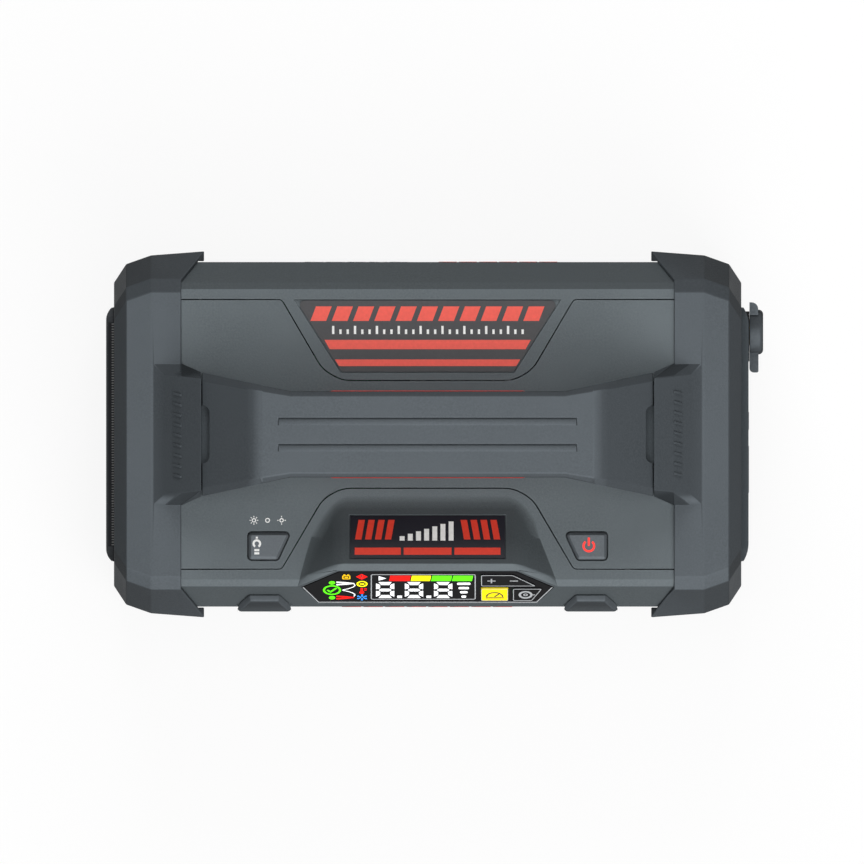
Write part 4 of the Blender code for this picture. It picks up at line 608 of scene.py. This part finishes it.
def block(shaped, low, high, soft=0.0, steps=3):
    """Box in millimetres between two corners, with all its edges rounded if asked."""
    low, high = Vector(low) * MM, Vector(high) * MM
    where = Matrix.Translation((low + high) / 2) @ Matrix.Diagonal((*(high - low), 1))
    corners = bmesh.ops.create_cube(shaped, size=1, matrix=where)["verts"]
    if soft:
        lines = dict.fromkeys(line for corner in corners for line in corner.link_edges)
        soften_edges(shaped, list(lines), soft, steps)


def upright_edges(shaped, x, y):
    """Edges that run up and down at a place in millimetres."""
    there = Vector((x, y)) * MM
    return [line for line in shaped.edges if all((end.co.xy - there).length < SEAM for end in line.verts)]


def closed(shaped):
    """The same shape with its seams merged and its faces pointing out."""
    bmesh.ops.remove_doubles(shaped, verts=shaped.verts, dist=FINE_SEAM)
    bmesh.ops.recalc_face_normals(shaped, faces=shaped.faces)
    return shaped


# Housing

def at_handle_bend(line):
    """Whether an edge is where the handle's top bends down."""
    return line.is_convex and all(abs(abs(end.co.x - BODY_X) - HANDLE_BEND) < NEAR for end in line.verts)


def touches(line, corner):
    """Whether an edge ends at a corner on the deck, or at the same one on the other side of the body."""
    ends = [Vector((abs(end.co.x - BODY_X), *end.co.yz)) for end in line.verts]
    return any((end - Vector((*corner, DECK_Z))).length < NEAR for end in ends)


def at_hood_fold(line):
    """Whether an edge is where the hood rises from the deck, or where its back turns to a side."""
    return folded(line, 12) and (touches(line, HOOD_CORNER) or line.is_convex and touches(line, HOOD_SIDE))


def dress_housing():
    """Rounded edges on the mouldings that show."""
    folds = (at_hood_fold, 2.4, "ARC")
    moulding("front_shell", SHELL_GREY, edge=0.18, shortest=0.6, sharp=20, first=folds)
    moulding("rear_shell", SHELL_GREY, edge=0.18, shortest=0.6, sharp=20)
    moulding("top_deck", SHELL_GREY, edge=0.12, shortest=0.4)
    moulding("base_pan", SHELL_GREY, edge=0.8, shortest=4.0)
    for node in ("left_end_cap", "right_end_cap"):
        moulding(node, CAP_GREY, edge=0.35, shortest=1.2, sharp=7.5)
    bend = (at_handle_bend, 3.0, "SHARP")
    moulding("handle_bridge", CAP_GREY, edge=0.4, shortest=1.3, sharp=20, first=bend)
    moulding("handle_underpad", RED_RUBBER, edge=0.6)
    for node in ("front_guard_left", "front_guard_right"):
        moulding(node, RUBBER, edge=0.5)


def draw_ramp_ribs(shaped):
    """Row of slanted grip ribs across a ramp."""
    half = 1.9
    for middle in centred_row(3.5, 9):
        bar(shaped, middle - 0.7, -half, middle + 0.3, half, slant=0.8, soft=0.3)


def draw_slot_shade(shaped):
    """Dark patch on the floor of the slot at a handle end, as painted shade."""
    bar(shaped, 74.9, -9.9, 77.6, 9.9)


def add_handle_details():
    """Painted shade on the slots' floors, and strips that leave a fine line along each groove."""
    for name, side in (("right", 1), ("left", -1)):
        where = plane((BODY_X, 0, SLOT_FLOOR), (side, 0, 0), (0, side, 0))
        # A dark patch paints the shade in the slot's hollow
        raised("slot_shade_" + name, where, PANEL_GREY, "cap_grey", draw_slot_shade, base=-0.05, height=0.15)
    middle = BODY_X / MM
    half, width, foot, top = 51.0, 2.15, 111.35, 111.98
    for name, low in (("rear", 3.05), ("front", -5.95)):
        strip = bmesh.new()
        block(strip, (middle - half, low, foot), (middle + half, low + width, top), 0.05, 2)
        settle("handle_strip_" + name, closed(strip), CAP_GREY)


def wall_bars(lefts, width, slant):
    """Drawing of slanted bars along a wall."""
    foot, top = 44.0, 54.0

    def draw(shaped):
        for left in lefts:
            bar(shaped, left, foot, left + width, top, slant, soft=0.5)
    return draw


def add_wall_marks():
    """Raised bars on the walls and ribs on the ramps."""
    front = wall_bars(row(-29.5, 7.4, 8), width=5.2, slant=1.6)
    rear_red = wall_bars(row(-43.0, 6.9, 6), width=4.8, slant=-1.6)
    rear_white = wall_bars(row(8.0, 7.3, 5), width=5.0, slant=-1.6)
    relief = {"base": -0.1, "height": 0.25, "edge": 0.05}
    raised("front_wall_bars", FRONT, RED_INK_SHEEN, "red_rubber", front, **relief)
    raised("rear_wall_bars_red", REAR, RED_INK_SHEEN, "red_rubber", rear_red, **relief)
    raised("rear_wall_bars_white", REAR, INK_WHITE, "label", rear_white, **relief)
    for name, side in (("right", 1), ("left", -1)):
        raised("ramp_ribs_" + name, ramp_plane(side), CAP_GREY, "cap_grey", draw_ramp_ribs,
               base=-0.15, height=0.5, edge=0.15)


# Profiles of radii and heights in millimetres
FOOT_TREAD = [(0, 0.6), (2.3, 0.6), (2.7, 0), (4.3, 0), (4.7, 0.6), (5.2, 0.6), (5.6, 0), (6.4, 0),
              (7.0, 0.6), (7.0, 4.2), (0, 4.2)]
SCREW_SHANK = [(2.1, 3.0), (2.6, 3.0), (3.0, 3.4), (3.0, 4.2), (1.5, 4.2), (1.5, 12.6), (1.0, 13.0),
               (0, 13.0)]
SCREW_HEAD = 3                # height of the head's face
CROSS_DEPTH = 0.9
CROSS_ARMS = [(1.5, 0.3), (0.3, 0.3), (0.3, 1.5), (-0.3, 1.5), (-0.3, 0.3), (-1.5, 0.3)]  # half the outline


def add_foot(end, side, depth):
    """Rubber foot with two contact rings."""
    foot = bmesh.new()
    turned(foot, FOOT_TREAD, Matrix.Translation((BODY_X + side * FOOT_PLACE[0], depth * FOOT_PLACE[1], 0)))
    settle("foot_tread_" + end, closed(foot), FOOT_RUBBER, stands_for=("foot_" + end,))


def add_base_screw(end, side, depth):
    """Base screw with a cross recess in its head."""
    screw = bmesh.new()
    turned(screw, SCREW_SHANK, Matrix.Identity(4), 24)
    bmesh.ops.remove_doubles(screw, verts=screw.verts, dist=FINE_SEAM)
    rim = [line for line in screw.edges if line.is_boundary]
    outline = CROSS_ARMS + [(-u, -v) for u, v in CROSS_ARMS]
    cross = [screw.verts.new((u * MM, v * MM, SCREW_HEAD * MM)) for u, v in outline]
    lines = [screw.edges.new((cross[index - 1], cross[index])) for index in range(len(cross))]
    bmesh.ops.bridge_loops(screw, edges=rim + lines)
    sunk = bmesh.ops.extrude_edge_only(screw, edges=lines)["geom"]
    bmesh.ops.translate(screw, verts=only(bmesh.types.BMVert, sunk), vec=(0, 0, CROSS_DEPTH * MM))
    floor = [line for line in only(bmesh.types.BMEdge, sunk) if line.is_boundary]
    bmesh.ops.edgeloop_fill(screw, edges=floor)
    move = (BODY_X + side * SCREW_PLACE[0], depth * SCREW_PLACE[1], 0)
    bmesh.ops.translate(screw, verts=screw.verts, vec=move)
    settle("base_screw_cross_" + end, closed(screw), STEEL, stands_for=("base_screw_" + end,))


def add_feet():
    """Feet and screws at the corners of the base."""
    for end in ("front_left", "front_right", "rear_left", "rear_right"):
        side = -1 if "left" in end else 1
        depth = -1 if "front" in end else 1
        add_foot(end, side, depth)
        add_base_screw(end, side, depth)


# Display and keys, drawn in millimetres: across from the middle, and down from the display's top edge

DISPLAY_TOP = 9.4
ROCKER_OUTLINE = [(18.35, 0.7), (37.16, 0.7), (29.24, 7.7), (18.35, 7.7)]
UNIT_OUTLINE = rectangle(18.35, -8.7, 27.6, -1.1)
PUMP_OUTLINE = [(29.3, -8.7), (35.75, -8.7), (39.22, -1.1), (29.3, -1.1)]
KEY_FACE = 0.3                # key faces above the window, in millimetres


def up(down):
    """Height on the display's plane for a distance down from its top edge."""
    return DISPLAY_TOP - down


def draw_digit(shaped, left, low, width, height):
    """All seven segments of a digit, with gaps between them."""
    wide, tall, gap = 1.4, 1.9, 0.85
    right, high, middle = left + width, low + height, low + height / 2
    slant = gap + 0.95
    for edge, inner in ((high, -tall), (low, tall)):
        patch(shaped, [(left + gap, edge), (right - gap, edge),
                       (right - slant, edge + inner), (left + slant, edge + inner)])
    half = tall * 0.45
    patch(shaped, [(left + gap, middle), (left + slant, middle + half), (right - slant, middle + half),
                   (right - gap, middle), (right - slant, middle - half), (left + slant, middle - half)])
    for edge, inner in ((left, wide), (right, -wide)):
        for end, way in ((high, -1), (low, 1)):
            patch(shaped, [(edge, end + way * gap), (edge + inner, end + way * tall),
                           (edge + inner, middle - way * 1.15), (edge, middle - way * 0.5)])


def draw_display_lines(shaped):
    """Thin lines around the display and its screen."""
    patch(shaped, [(-42.9, -0.6), (-37.5, -10.3), (37.5, -10.3), (42.9, -0.6),
                   (42.6, -0.4), (37.3, -9.9), (-37.3, -9.9), (-42.6, -0.4)])
    line_around(shaped, rectangle(-19.5, -8.4, 16.5, 7.9), 0.36, 0.8)


def draw_clamp(shaped, down):
    """Clamp with an open jaw at its left."""
    jaw = ((-31.3, 1.2), (-28.6, 0.9), (-25.2, 0.25), (-25.2, 0.0), (-28.6, 0.1), (-31.3, 0.45))
    for way in (-1, 1):
        patch(shaped, [(across, up(down + way * out)) for across, out in jaw])


def draw_white_marks(shaped):
    """Digits with their points, four unit marks, a pointer, the upper clamp and the leads of both clamps."""
    digit_foot = up(16.8)
    for left in (-17.7, -7.8, 2.2):
        draw_digit(shaped, left, digit_foot, 6.25, 10.3)
    for left in (-10.4, -0.4):
        bar(shaped, left, digit_foot, left + 1.6, up(15.3))
    middle = 12.4
    for down, half in ((7.6, 2.3), (10.4, 1.8), (13.1, 1.3), (15.9, 0.8)):
        bar(shaped, middle - half, up(down + 0.7), middle + half, up(down - 0.7), soft=0.5)
    patch(shaped, [(-16.8, up(5.5)), (-14.2, up(4.1)), (-16.8, up(2.7))])
    draw_clamp(shaped, 7.4)
    lead = [(-25.3, 7.6), (-24.9, 8.7), (-25.6, 9.8), (-27.2, 10.8), (-29.2, 11.6)]
    mirrored = 23.4           # the lower lead is the upper one, taken up from here
    for first, last in zip(lead, lead[1:]):
        for origin in (0.0, mirrored):
            ends = [(across, up(abs(origin - down))) for across, down in (first, last)]
            stroke(shaped, *ends, 0.35)


def draw_gauge_part(shaped, left, right):
    """Slanted part of the gauge along the top."""
    bar(shaped, left, up(5.8), right, up(2.4), 0.4)


def draw_red_marks(shaped):
    """First part of the gauge, the warning sign, the thermometer and the lower clamp."""
    draw_gauge_part(shaped, -13.2, -6.2)
    patch(shaped, [(-24.6, up(3.1)), (-22.6, up(4.9)), (-20.6, up(3.1)), (-22.6, up(1.3))])
    disc(shaped, (-22.6, up(13.2)), 0.85)
    bar(shaped, -23.0, up(13.0), -22.2, up(10.4), soft=0.3)
    for down in (10.8, 11.7):
        bar(shaped, -21.8, up(down + 0.2), -20.9, up(down - 0.2))
    draw_clamp(shaped, 16.5)


def draw_yellow_marks(shaped):
    """Second part of the gauge and the ring with a level mark."""
    draw_gauge_part(shaped, -5.8, 0.8)
    arc(shaped, (-22.5, up(7.7)), 1.9, 1.3)
    bar(shaped, -23.3, up(8.1), -21.7, up(7.4), soft=0.15)


def draw_amber_marks(shaped):
    """Small battery."""
    line_around(shaped, rectangle(-29.3, up(4.7), -26.5, up(2.2)), 0.45, 0.55)
    for left in (-28.9, -27.6):
        bar(shaped, left, up(2.2), left + 0.7, up(1.6))
    bar(shaped, -28.5, up(3.9), -27.3, up(3.1))


def draw_green_marks(shaped):
    """Third and fourth part of the gauge, two dots, and the ring with a tick."""
    draw_gauge_part(shaped, 1.2, 8.0)
    draw_gauge_part(shaped, 8.4, 15.2)
    middle = -32.8
    for down in (7.0, 16.6):
        disc(shaped, (middle, up(down)), 1.1)
    arc(shaped, (middle, up(11.7)), 3.1, 2.4)
    stroke(shaped, (-34.4, up(11.7)), (-33.2, up(13.0)), 0.7)
    stroke(shaped, (-33.4, up(13.0)), (-31.3, up(10.4)), 0.7)


def draw_blue_marks(shaped):
    """Frost sign of six arms, each with two twigs."""
    centre, arms, first = (-22.5, up(16.4)), 6, math.pi / 6
    rays(shaped, centre, inner=0.4, outer=1.9, count=arms, width=0.4, first=first)
    for index in range(arms):
        turn = first + FULL_TURN * index / arms
        fork = Vector(centre) + 1.2 * Vector((math.cos(turn), math.sin(turn)))
        for side in (-0.6, 0.6):
            twig = 0.6 * Vector((math.cos(turn + side), math.sin(turn + side)))
            stroke(shaped, fork, fork + twig, 0.25)


def draw_warning_stroke(shaped):
    """Stroke and dot on the warning sign."""
    bar(shaped, -22.8, up(3.2), -22.4, up(1.9))
    disc(shaped, (-22.6, up(3.9)), 0.28, 12)


def draw_rocker_legend(shaped):
    """Outline of the key, a plus and a minus."""
    line_around(shaped, ROCKER_OUTLINE, 0.28, 0.6)
    bar(shaped, 20.5, up(5.6), 23.3, up(5.1))
    bar(shaped, 21.65, up(6.75), 22.15, up(3.95))
    bar(shaped, 28.2, up(5.6), 31.0, up(5.1))


def draw_unit_legend(shaped):
    """Small dial with a needle."""
    centre = (22.98, -6.2)
    arc(shaped, centre, 3.0, 2.5, 0.0, math.pi, 20)
    stroke(shaped, centre, (24.6, -4.2), 0.5)
    bar(shaped, 19.9, -7.1, 26.1, -6.6)


def draw_unit_outline(shaped):
    """Outline of the key."""
    line_around(shaped, UNIT_OUTLINE, 0.2, 0.6)


def draw_pump_legend(shaped):
    """Outline of the key, and a tyre with a valve."""
    line_around(shaped, PUMP_OUTLINE, 0.28, 0.6)
    centre = (33.6, -4.9)
    arc(shaped, centre, 2.4, 1.6)
    arc(shaped, centre, 0.8, 0.4, steps=20)
    stroke(shaped, (35.6, centre[1]), (36.9, centre[1]), 0.5)


def at_key_corner(line):
    """Whether an edge is a corner of a key, seen on its face."""
    upright = along(line, DISPLAY.to_3x3() @ Vector((0, 0, 1)))
    return upright and line.is_convex and folded(line, 35)


def dress_display():
    """Window, keys and everything that is printed or lit on them."""
    moulding("display_window", BLACK_GLASS, edge=0.12)
    corners = (at_key_corner, 0.6, "SHARP")
    moulding("unit_key", YELLOW_KEY, edge=0.12, body="unit_key", first=corners)
    for key in ("pump_key", "plus_minus_key"):
        moulding(key, BLACK_KEY, edge=0.12, body=key, first=corners)
    marks = (
        ("lines", LINE_GREY, draw_display_lines),
        ("white", LIT_WHITE, draw_white_marks),
        ("red", LIT_RED, draw_red_marks),
        ("yellow", LIT_YELLOW, draw_yellow_marks),
        ("amber", LIT_AMBER, draw_amber_marks),
        ("green", LIT_GREEN, draw_green_marks),
        ("blue", LIT_BLUE, draw_blue_marks),
    )
    for name, ink, draw in marks:
        raised("display_" + name, DISPLAY, ink, "label", draw)
    raised("display_warning_stroke", DISPLAY, INK_DARK, "label", draw_warning_stroke, base=0.02, height=0.04)
    legends = (
        ("rocker_legend", LINE_GREY, draw_rocker_legend, "plus_minus_key"),
        ("unit_legend", INK_DARK, draw_unit_legend, "unit_key"),
        ("unit_outline", LINE_GREY, draw_unit_outline, "unit_key"),
        ("pump_legend", LINE_GREY, draw_pump_legend, "pump_key"),
    )
    for name, ink, draw, key in legends:
        raised(name, DISPLAY, ink, "label", draw, KEY_FACE - PRINT_SINK, body=key)


# Labels and deck buttons

LABEL_FACE = 0.1              # label faces above what they lie in, in millimetres
LABEL_PRINT = 0.05            # thickness of the print on them
BUTTON_FACE = 0.5             # button faces above the deck


def draw_console_red(shaped):
    """Slanted blocks at both sides, and a broken bar along the ridge."""
    foot, top, width, slant = -13.6, -6.4, 2.2, 1.2
    for left in row(12.5, 3.4, 4):
        bar(shaped, left, foot, left + width, top, -slant)
        bar(shaped, -left - width, foot, -left, top, slant)
    for left, right in ((-25.0, -9.2), (-8.2, 8.2), (9.2, 25.0)):
        bar(shaped, left, -19.2, right, -16.6)


def draw_console_white(shaped):
    """Row of rising bars in the middle."""
    foot, width, rise = -14.0, 1.7, 0.9
    for index, left in enumerate(row(-9.6, 2.8, 7)):
        bar(shaped, left, foot, left + width, -12.4 + index * rise)


def draw_rear_red(shaped):
    """Row of slanted blocks along the wide edge, and two bands towards the narrow edge."""
    for left in row(-40.2, 7.3, 11):
        bar(shaped, left, 38.9, left + 5.4, 43.9, slant=1.9)
    patch(shaped, [(-33.6, 29.2), (33.6, 29.2), (35.4, 32.4), (-35.4, 32.4)])
    patch(shaped, [(-30.4, 23.4), (30.4, 23.4), (31.8, 25.7), (-31.8, 25.7)])


def draw_rear_white(shaped):
    """Scale of long and short strokes."""
    foot, short, long, width = 34.4, 36.0, 37.2, 0.8
    for index, left in enumerate(row(-32.8, 2.5, 27)):
        bar(shaped, left, foot, left + width, long if index % 3 == 0 else short)


def draw_power_sign(shaped):
    """Open ring with a stroke in its gap."""
    centre, half_gap = (55.3, -38.3), 38
    arc(shaped, centre, 2.2, 1.45, math.radians(90 + half_gap), FULL_TURN - math.radians(2 * half_gap))
    bar(shaped, 54.92, centre[1], 55.68, -35.4, soft=0.15)


def draw_lamp_sign(shaped):
    """Upright bulb with its foot and one ray."""
    arc(shaped, (-58.6, -37.5), 1.5, 0.75, math.radians(-60), math.radians(300))
    for low in (-40.1, -41.2):
        bar(shaped, -59.45, low, -57.75, low + 0.75)
    bar(shaped, -58.95, -35.8, -58.25, -35.1)


def draw_lamp_modes(shaped):
    """Signs of strong, steady and flashing light, in a row."""
    y = -29.5
    for x, count in ((-59.6, 8), (-50.1, 4)):
        arc(shaped, (x, y), 0.75, 0.42, steps=20)
        rays(shaped, (x, y), inner=1.0, outer=1.5, count=count, width=0.28)
    arc(shaped, (-54.9, y), 0.85, 0.5, steps=20)


def dress_labels_and_buttons():
    """Label films, deck buttons and the prints on them."""
    moulding("console_label", LABEL_FILM, edge=0.06)
    moulding("rear_label", REAR_FILM_SHEEN, edge=0.06)
    for button in ("light_button", "power_button"):
        moulding(button, BUTTON_GREY, edge=0.2, body=button, sharp=20)
    film = LABEL_FACE - PRINT_SINK
    raised("console_label_red", HOOD_BACK, CONSOLE_RED, "label", draw_console_red, film, LABEL_PRINT)
    raised("console_label_white", HOOD_BACK, INK_WHITE, "label", draw_console_white, film, LABEL_PRINT)
    raised("rear_label_red", DECK, RED_INK_SHEEN, "label", draw_rear_red, film, LABEL_PRINT)
    raised("rear_label_white", DECK, INK_WHITE, "label", draw_rear_white, film, LABEL_PRINT)
    top = BUTTON_FACE - PRINT_SINK
    raised("power_sign", DECK, POWER_RED, "label", draw_power_sign, top, body="power_button")
    raised("lamp_sign", DECK, INK_WHITE, "label", draw_lamp_sign, top, body="light_button")
    raised("lamp_mode_signs", DECK, INK_WHITE, "label", draw_lamp_modes)


# Lamp

BEZEL_TOP = plane((BODY_X, 0, 0.066), (1, 0, 0), (0, 1, 0))
BEZEL_FOOT = plane((BODY_X, 0, 0.026), (1, 0, 0), (0, -1, 0))


def draw_bezel_shade(shaped):
    """Dark band of painted shade along the bezel's rim, under its ribs."""
    bar(shaped, -109.6, -38.4, -107.7, 38.4)


def draw_bezel_ribs(shaped):
    """Fine ribs along the bezel's rim."""
    half = 0.22
    for middle in centred_row(0.88, 87):
        bar(shaped, -108.4, middle - half, -107.62, middle + half)


def add_panel_seat(node, where, face, finish):
    """Thin seat around an end panel, between it and its cap."""
    low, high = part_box(node)
    half = 43.6
    depth = (CAP_FACE - face) / MM

    def draw(shaped):
        line_around(shaped, rectangle(-half, low[2] / MM, half, high[2] / MM), 2.0, 5.0)
    raised(node + "_seat", where, finish, "rubber", draw, base=depth - 0.05, height=0.4)


def dress_lamp():
    """Bezel, lens, reflector and the light chips in its cups."""
    moulding("light_bezel", BEZEL_GREY, edge=0.08)
    add_panel_seat("light_bezel", LEFT_END, LAMP_FACE, FOOT_RUBBER)
    moulding("light_lens", CLEAR_LENS, edge=0.3)
    for end, where in (("top", BEZEL_TOP), ("foot", BEZEL_FOOT)):
        # A dark band paints the shade between the ribs
        raised("bezel_shade_" + end, where, FOOT_RUBBER, "rubber", draw_bezel_shade, base=-0.05, height=0.1)
        # The ribs' finish is paler by a painted highlight
        raised("bezel_ribs_" + end, where, RIB_HIGHLIGHT_GREY, "rubber", draw_bezel_ribs, base=0.0, height=0.2)
    chips = bmesh.new()
    half = 1.7
    for y in centred_row(15.32, 5):
        block(chips, (-107.9, y - half, 44.3), (-107.1, y + half, 47.7), 0.2, 2)
    settle("lamp_chips", closed(chips), CHIP_YELLOW)
    coat(REFLECTOR, "light_reflector")
    coat(BOARD_GREEN, "light_board")


# Ports

def draw_jump_sign(shaped):
    """Battery outline with its plus and minus."""
    line_around(shaped, rectangle(-20.0, 42.4, -4.0, 50.4), 0.6, 0.6)
    for left in (-18.4, -8.6):
        bar(shaped, left, 50.4, left + 3.0, 51.6)
    bar(shaped, -18.3, 46.0, -15.3, 46.8)
    bar(shaped, -17.2, 44.9, -16.4, 47.9)
    bar(shaped, -8.9, 46.0, -5.9, 46.8)


def draw_usb_sign(shaped):
    """Two plain plugs."""
    middle, width = 25, 6
    for left, half in ((-16.0, 1.6), (1.6, 2.2)):
        line_around(shaped, rectangle(left, middle - half, left + width, middle + half), 0.5, 0.5)


def add_dust_cap():
    """Rubber cap over the air outlet, with its strap and its pull tab."""
    radius, steps = 1.6, 6
    turns = [math.pi / 2 * step / steps for step in range(steps + 1)]
    round_edge = [(6.1 + radius * math.cos(turn), 3.1 + radius * math.sin(turn)) for turn in turns]
    profile = [(0, 3.3), (5.2, 3.3), (5.2, 0), (7.4, 0), (7.7, 0.3), *round_edge,
               (5.4, 4.7), (5.0, 4.4), (0, 4.4)]
    cap = bmesh.new()
    seat = PORT_FACE + 0.0003
    turned(cap, profile, right_end_plane(seat, *OUTLET_PLACE), 56)
    closed(cap)
    inner = (BODY_X + seat) / MM
    strap_face, strap_end = inner + 3.1, 21.2
    tab_face, tab_end = inner + 3.0, 45.3
    block(cap, (inner, strap_end, 43.0), (strap_face, 29.3, 49.0))
    block(cap, (inner, 40.9, 40.2), (tab_face, tab_end, 51.8))
    soften_edges(cap, upright_edges(cap, inner, strap_end), 1.5, 6)
    soften_edges(cap, upright_edges(cap, strap_face, strap_end), 0.6, 4)
    soften_edges(cap, upright_edges(cap, tab_face, tab_end), 2.3, 8)
    settle("air_outlet_dust_cap", cap, RUBBER, "air_outlet_cap", ("air_outlet_cap",))


def add_outlet_shade():
    """Black block on the panel below the dust cap, as painted shade in the hollow behind the cap."""
    shade_block = bmesh.new()
    face = (BODY_X + PORT_FACE) / MM
    block(shade_block, (face - 2.6, 25.0, 39.2), (face + 0.26, 42.2, 52.8), 0.12, 2)
    settle("air_outlet_painted_shade", closed(shade_block), PART_BLACK)


def add_jump_contacts():
    """Brass sleeves in the two bores of the jump socket."""
    sleeve = [(3.9, -10.5), (4.65, -10.5), (4.65, -1.2), (4.4, -0.9), (3.9, -0.9), (3.9, -10.5)]
    contacts = bmesh.new()
    socket_face = 0.1079
    for y in JUMP_BORES:
        turned(contacts, sleeve, right_end_plane(socket_face, y, JUMP_HEIGHT), 36)
    settle("jump_contacts", closed(contacts), BRASS)


def dress_ports():
    """Panel, sockets and covers of the right end."""
    moulding("port_panel", PANEL_GREY, edge=0.08)
    add_panel_seat("port_panel", RIGHT_END, PORT_FACE, PANEL_GREY)
    for cover in ("jump_cover", "usb_cover"):
        moulding(cover, RUBBER, edge=0.4, body=cover)
    moulding("jump_socket", SOCKET_BLUE, edge=0.3)
    moulding("air_outlet", BRASS, edge=0.3)
    for cover, draw in (("jump_cover", draw_jump_sign), ("usb_cover", draw_usb_sign)):
        raised(cover + "_sign", RIGHT_END, RUBBER, "rubber", draw, base=-0.1, height=0.22, body=cover)
    add_dust_cap()
    add_outlet_shade()
    add_jump_contacts()
    coat(STEEL, "usb_a_socket", "usb_c_socket")


# Insides

def dress_insides():
    """Finishes of what the shells hide."""
    coat(SMOKED_GLASS, "lcd_module")
    coat(BOARD_GREEN, "display_board", "main_board")
    coat(PART_BLACK, "battery_tray", "power_relay")
    coat(CELL_FILM, "battery_cell_1", "battery_cell_2", "battery_cell_3", "battery_cell_4")
    coat(ALUMINIUM, "capacitor", "compressor_frame", "piston_rod", "cylinder", "cylinder_head")
    coat(STEEL, "motor_can", "crank_axle")
    coat(BRASS, "motor_pinion")
    coat(NYLON, "crank_gear")
    coat(HOSE_BLACK, "air_tube")


# Studio

LAMPS = (                     # place, size in metres and watts
    ("key_light", (0.32, -0.80, 0.84), 1.0, 11.0),
    ("top_light", (0.0, -0.05, 1.3), 0.8, 4.6),
    ("rear_fill", (-0.05, 0.85, 0.60), 0.6, 6.0),
)
FLOOR_RADIUS = 4
FLOOR_DROP = 0.0002           # floor below the feet
VIEW_WIDTH = 0.2964           # what the photograph spans
VIEW_PLACE = (-0.0009, 0.0008, 1.2)


def white_to_the_eye(tree):
    """One for rays that the camera, a mirror or glass sends, and nought for light."""
    path = place(tree, "ShaderNodeLightPath").outputs
    seen = math_node(tree, "MAXIMUM", path["Is Camera Ray"], path["Is Glossy Ray"])
    return math_node(tree, "MAXIMUM", seen, path["Is Transmission Ray"])


def add_floor():
    """Pale floor that is nearly white to the eye and keeps the object's shadow."""
    shaped = bmesh.new()
    bmesh.ops.create_circle(shaped, cap_ends=True, segments=64, radius=FLOOR_RADIUS)
    mesh = bpy.data.meshes.new("floor")
    shaped.to_mesh(mesh)
    shaped.free()
    floor = bpy.data.objects.new("floor", mesh)
    floor.location.z = -FLOOR_DROP
    bpy.context.scene.collection.objects.link(floor)
    material = bpy.data.materials.new("floor_paper")
    material.use_nodes = True
    tree = material.node_tree
    tree.nodes.clear()
    seen = white_to_the_eye(tree)
    tone = blend(tree, seen, (0.3, 0.3, 0.3, 1), (0.95, 0.95, 0.95, 1))
    paper = place(tree, "ShaderNodeBsdfDiffuse", None, {"Color": tone})
    white = place(tree, "ShaderNodeEmission", None, {"Color": (1, 1, 1, 1), "Strength": 1.0})
    share = math_node(tree, "MULTIPLY", seen, 0.88)
    mixed = place(tree, "ShaderNodeMixShader", None, {0: share, 1: paper.outputs[0], 2: white.outputs[0]})
    place(tree, "ShaderNodeOutputMaterial", None, {"Surface": mixed.outputs[0]})
    mesh.materials.append(material)


def add_lamp(name, location, size, power, aim):
    """Square soft light that the camera doesn't see."""
    light = bpy.data.lights.new(name, "AREA")
    light.size = size
    light.energy = power
    lamp = bpy.data.objects.new(name, light)
    lamp.location = location
    lamp.rotation_euler = (Vector(aim) - Vector(location)).to_track_quat("-Z", "Y").to_euler()
    lamp.visible_camera = False
    bpy.context.scene.collection.objects.link(lamp)


def set_studio():
    """Soft light from the front right, from above and from the rear, white surroundings and the camera."""
    scene = bpy.context.scene
    scene.view_settings.view_transform = "Standard"
    add_floor()
    middle = (BODY_X, 0, 0.06)
    for name, location, size, power in LAMPS:
        add_lamp(name, location, size, power, middle)
    world = bpy.data.worlds.new("studio")
    scene.world = world
    world.use_nodes = True
    tree = world.node_tree
    tree.nodes.clear()
    strength = spread(tree, white_to_the_eye(tree), 0.10, 1.0)
    surroundings = place(tree, "ShaderNodeBackground", None, {"Color": (1, 1, 1, 1), "Strength": strength})
    place(tree, "ShaderNodeOutputWorld", None, {"Surface": surroundings.outputs[0]})
    view = bpy.data.cameras.new("photo_view")
    view.type = "ORTHO"
    view.ortho_scale = VIEW_WIDTH
    camera = bpy.data.objects.new("photo_view", view)
    camera.location = VIEW_PLACE
    scene.collection.objects.link(camera)
    scene.camera = camera


dress_housing()
add_handle_details()
add_wall_marks()
add_feet()
dress_display()
dress_labels_and_buttons()
dress_lamp()
dress_ports()
dress_insides()
set_studio()
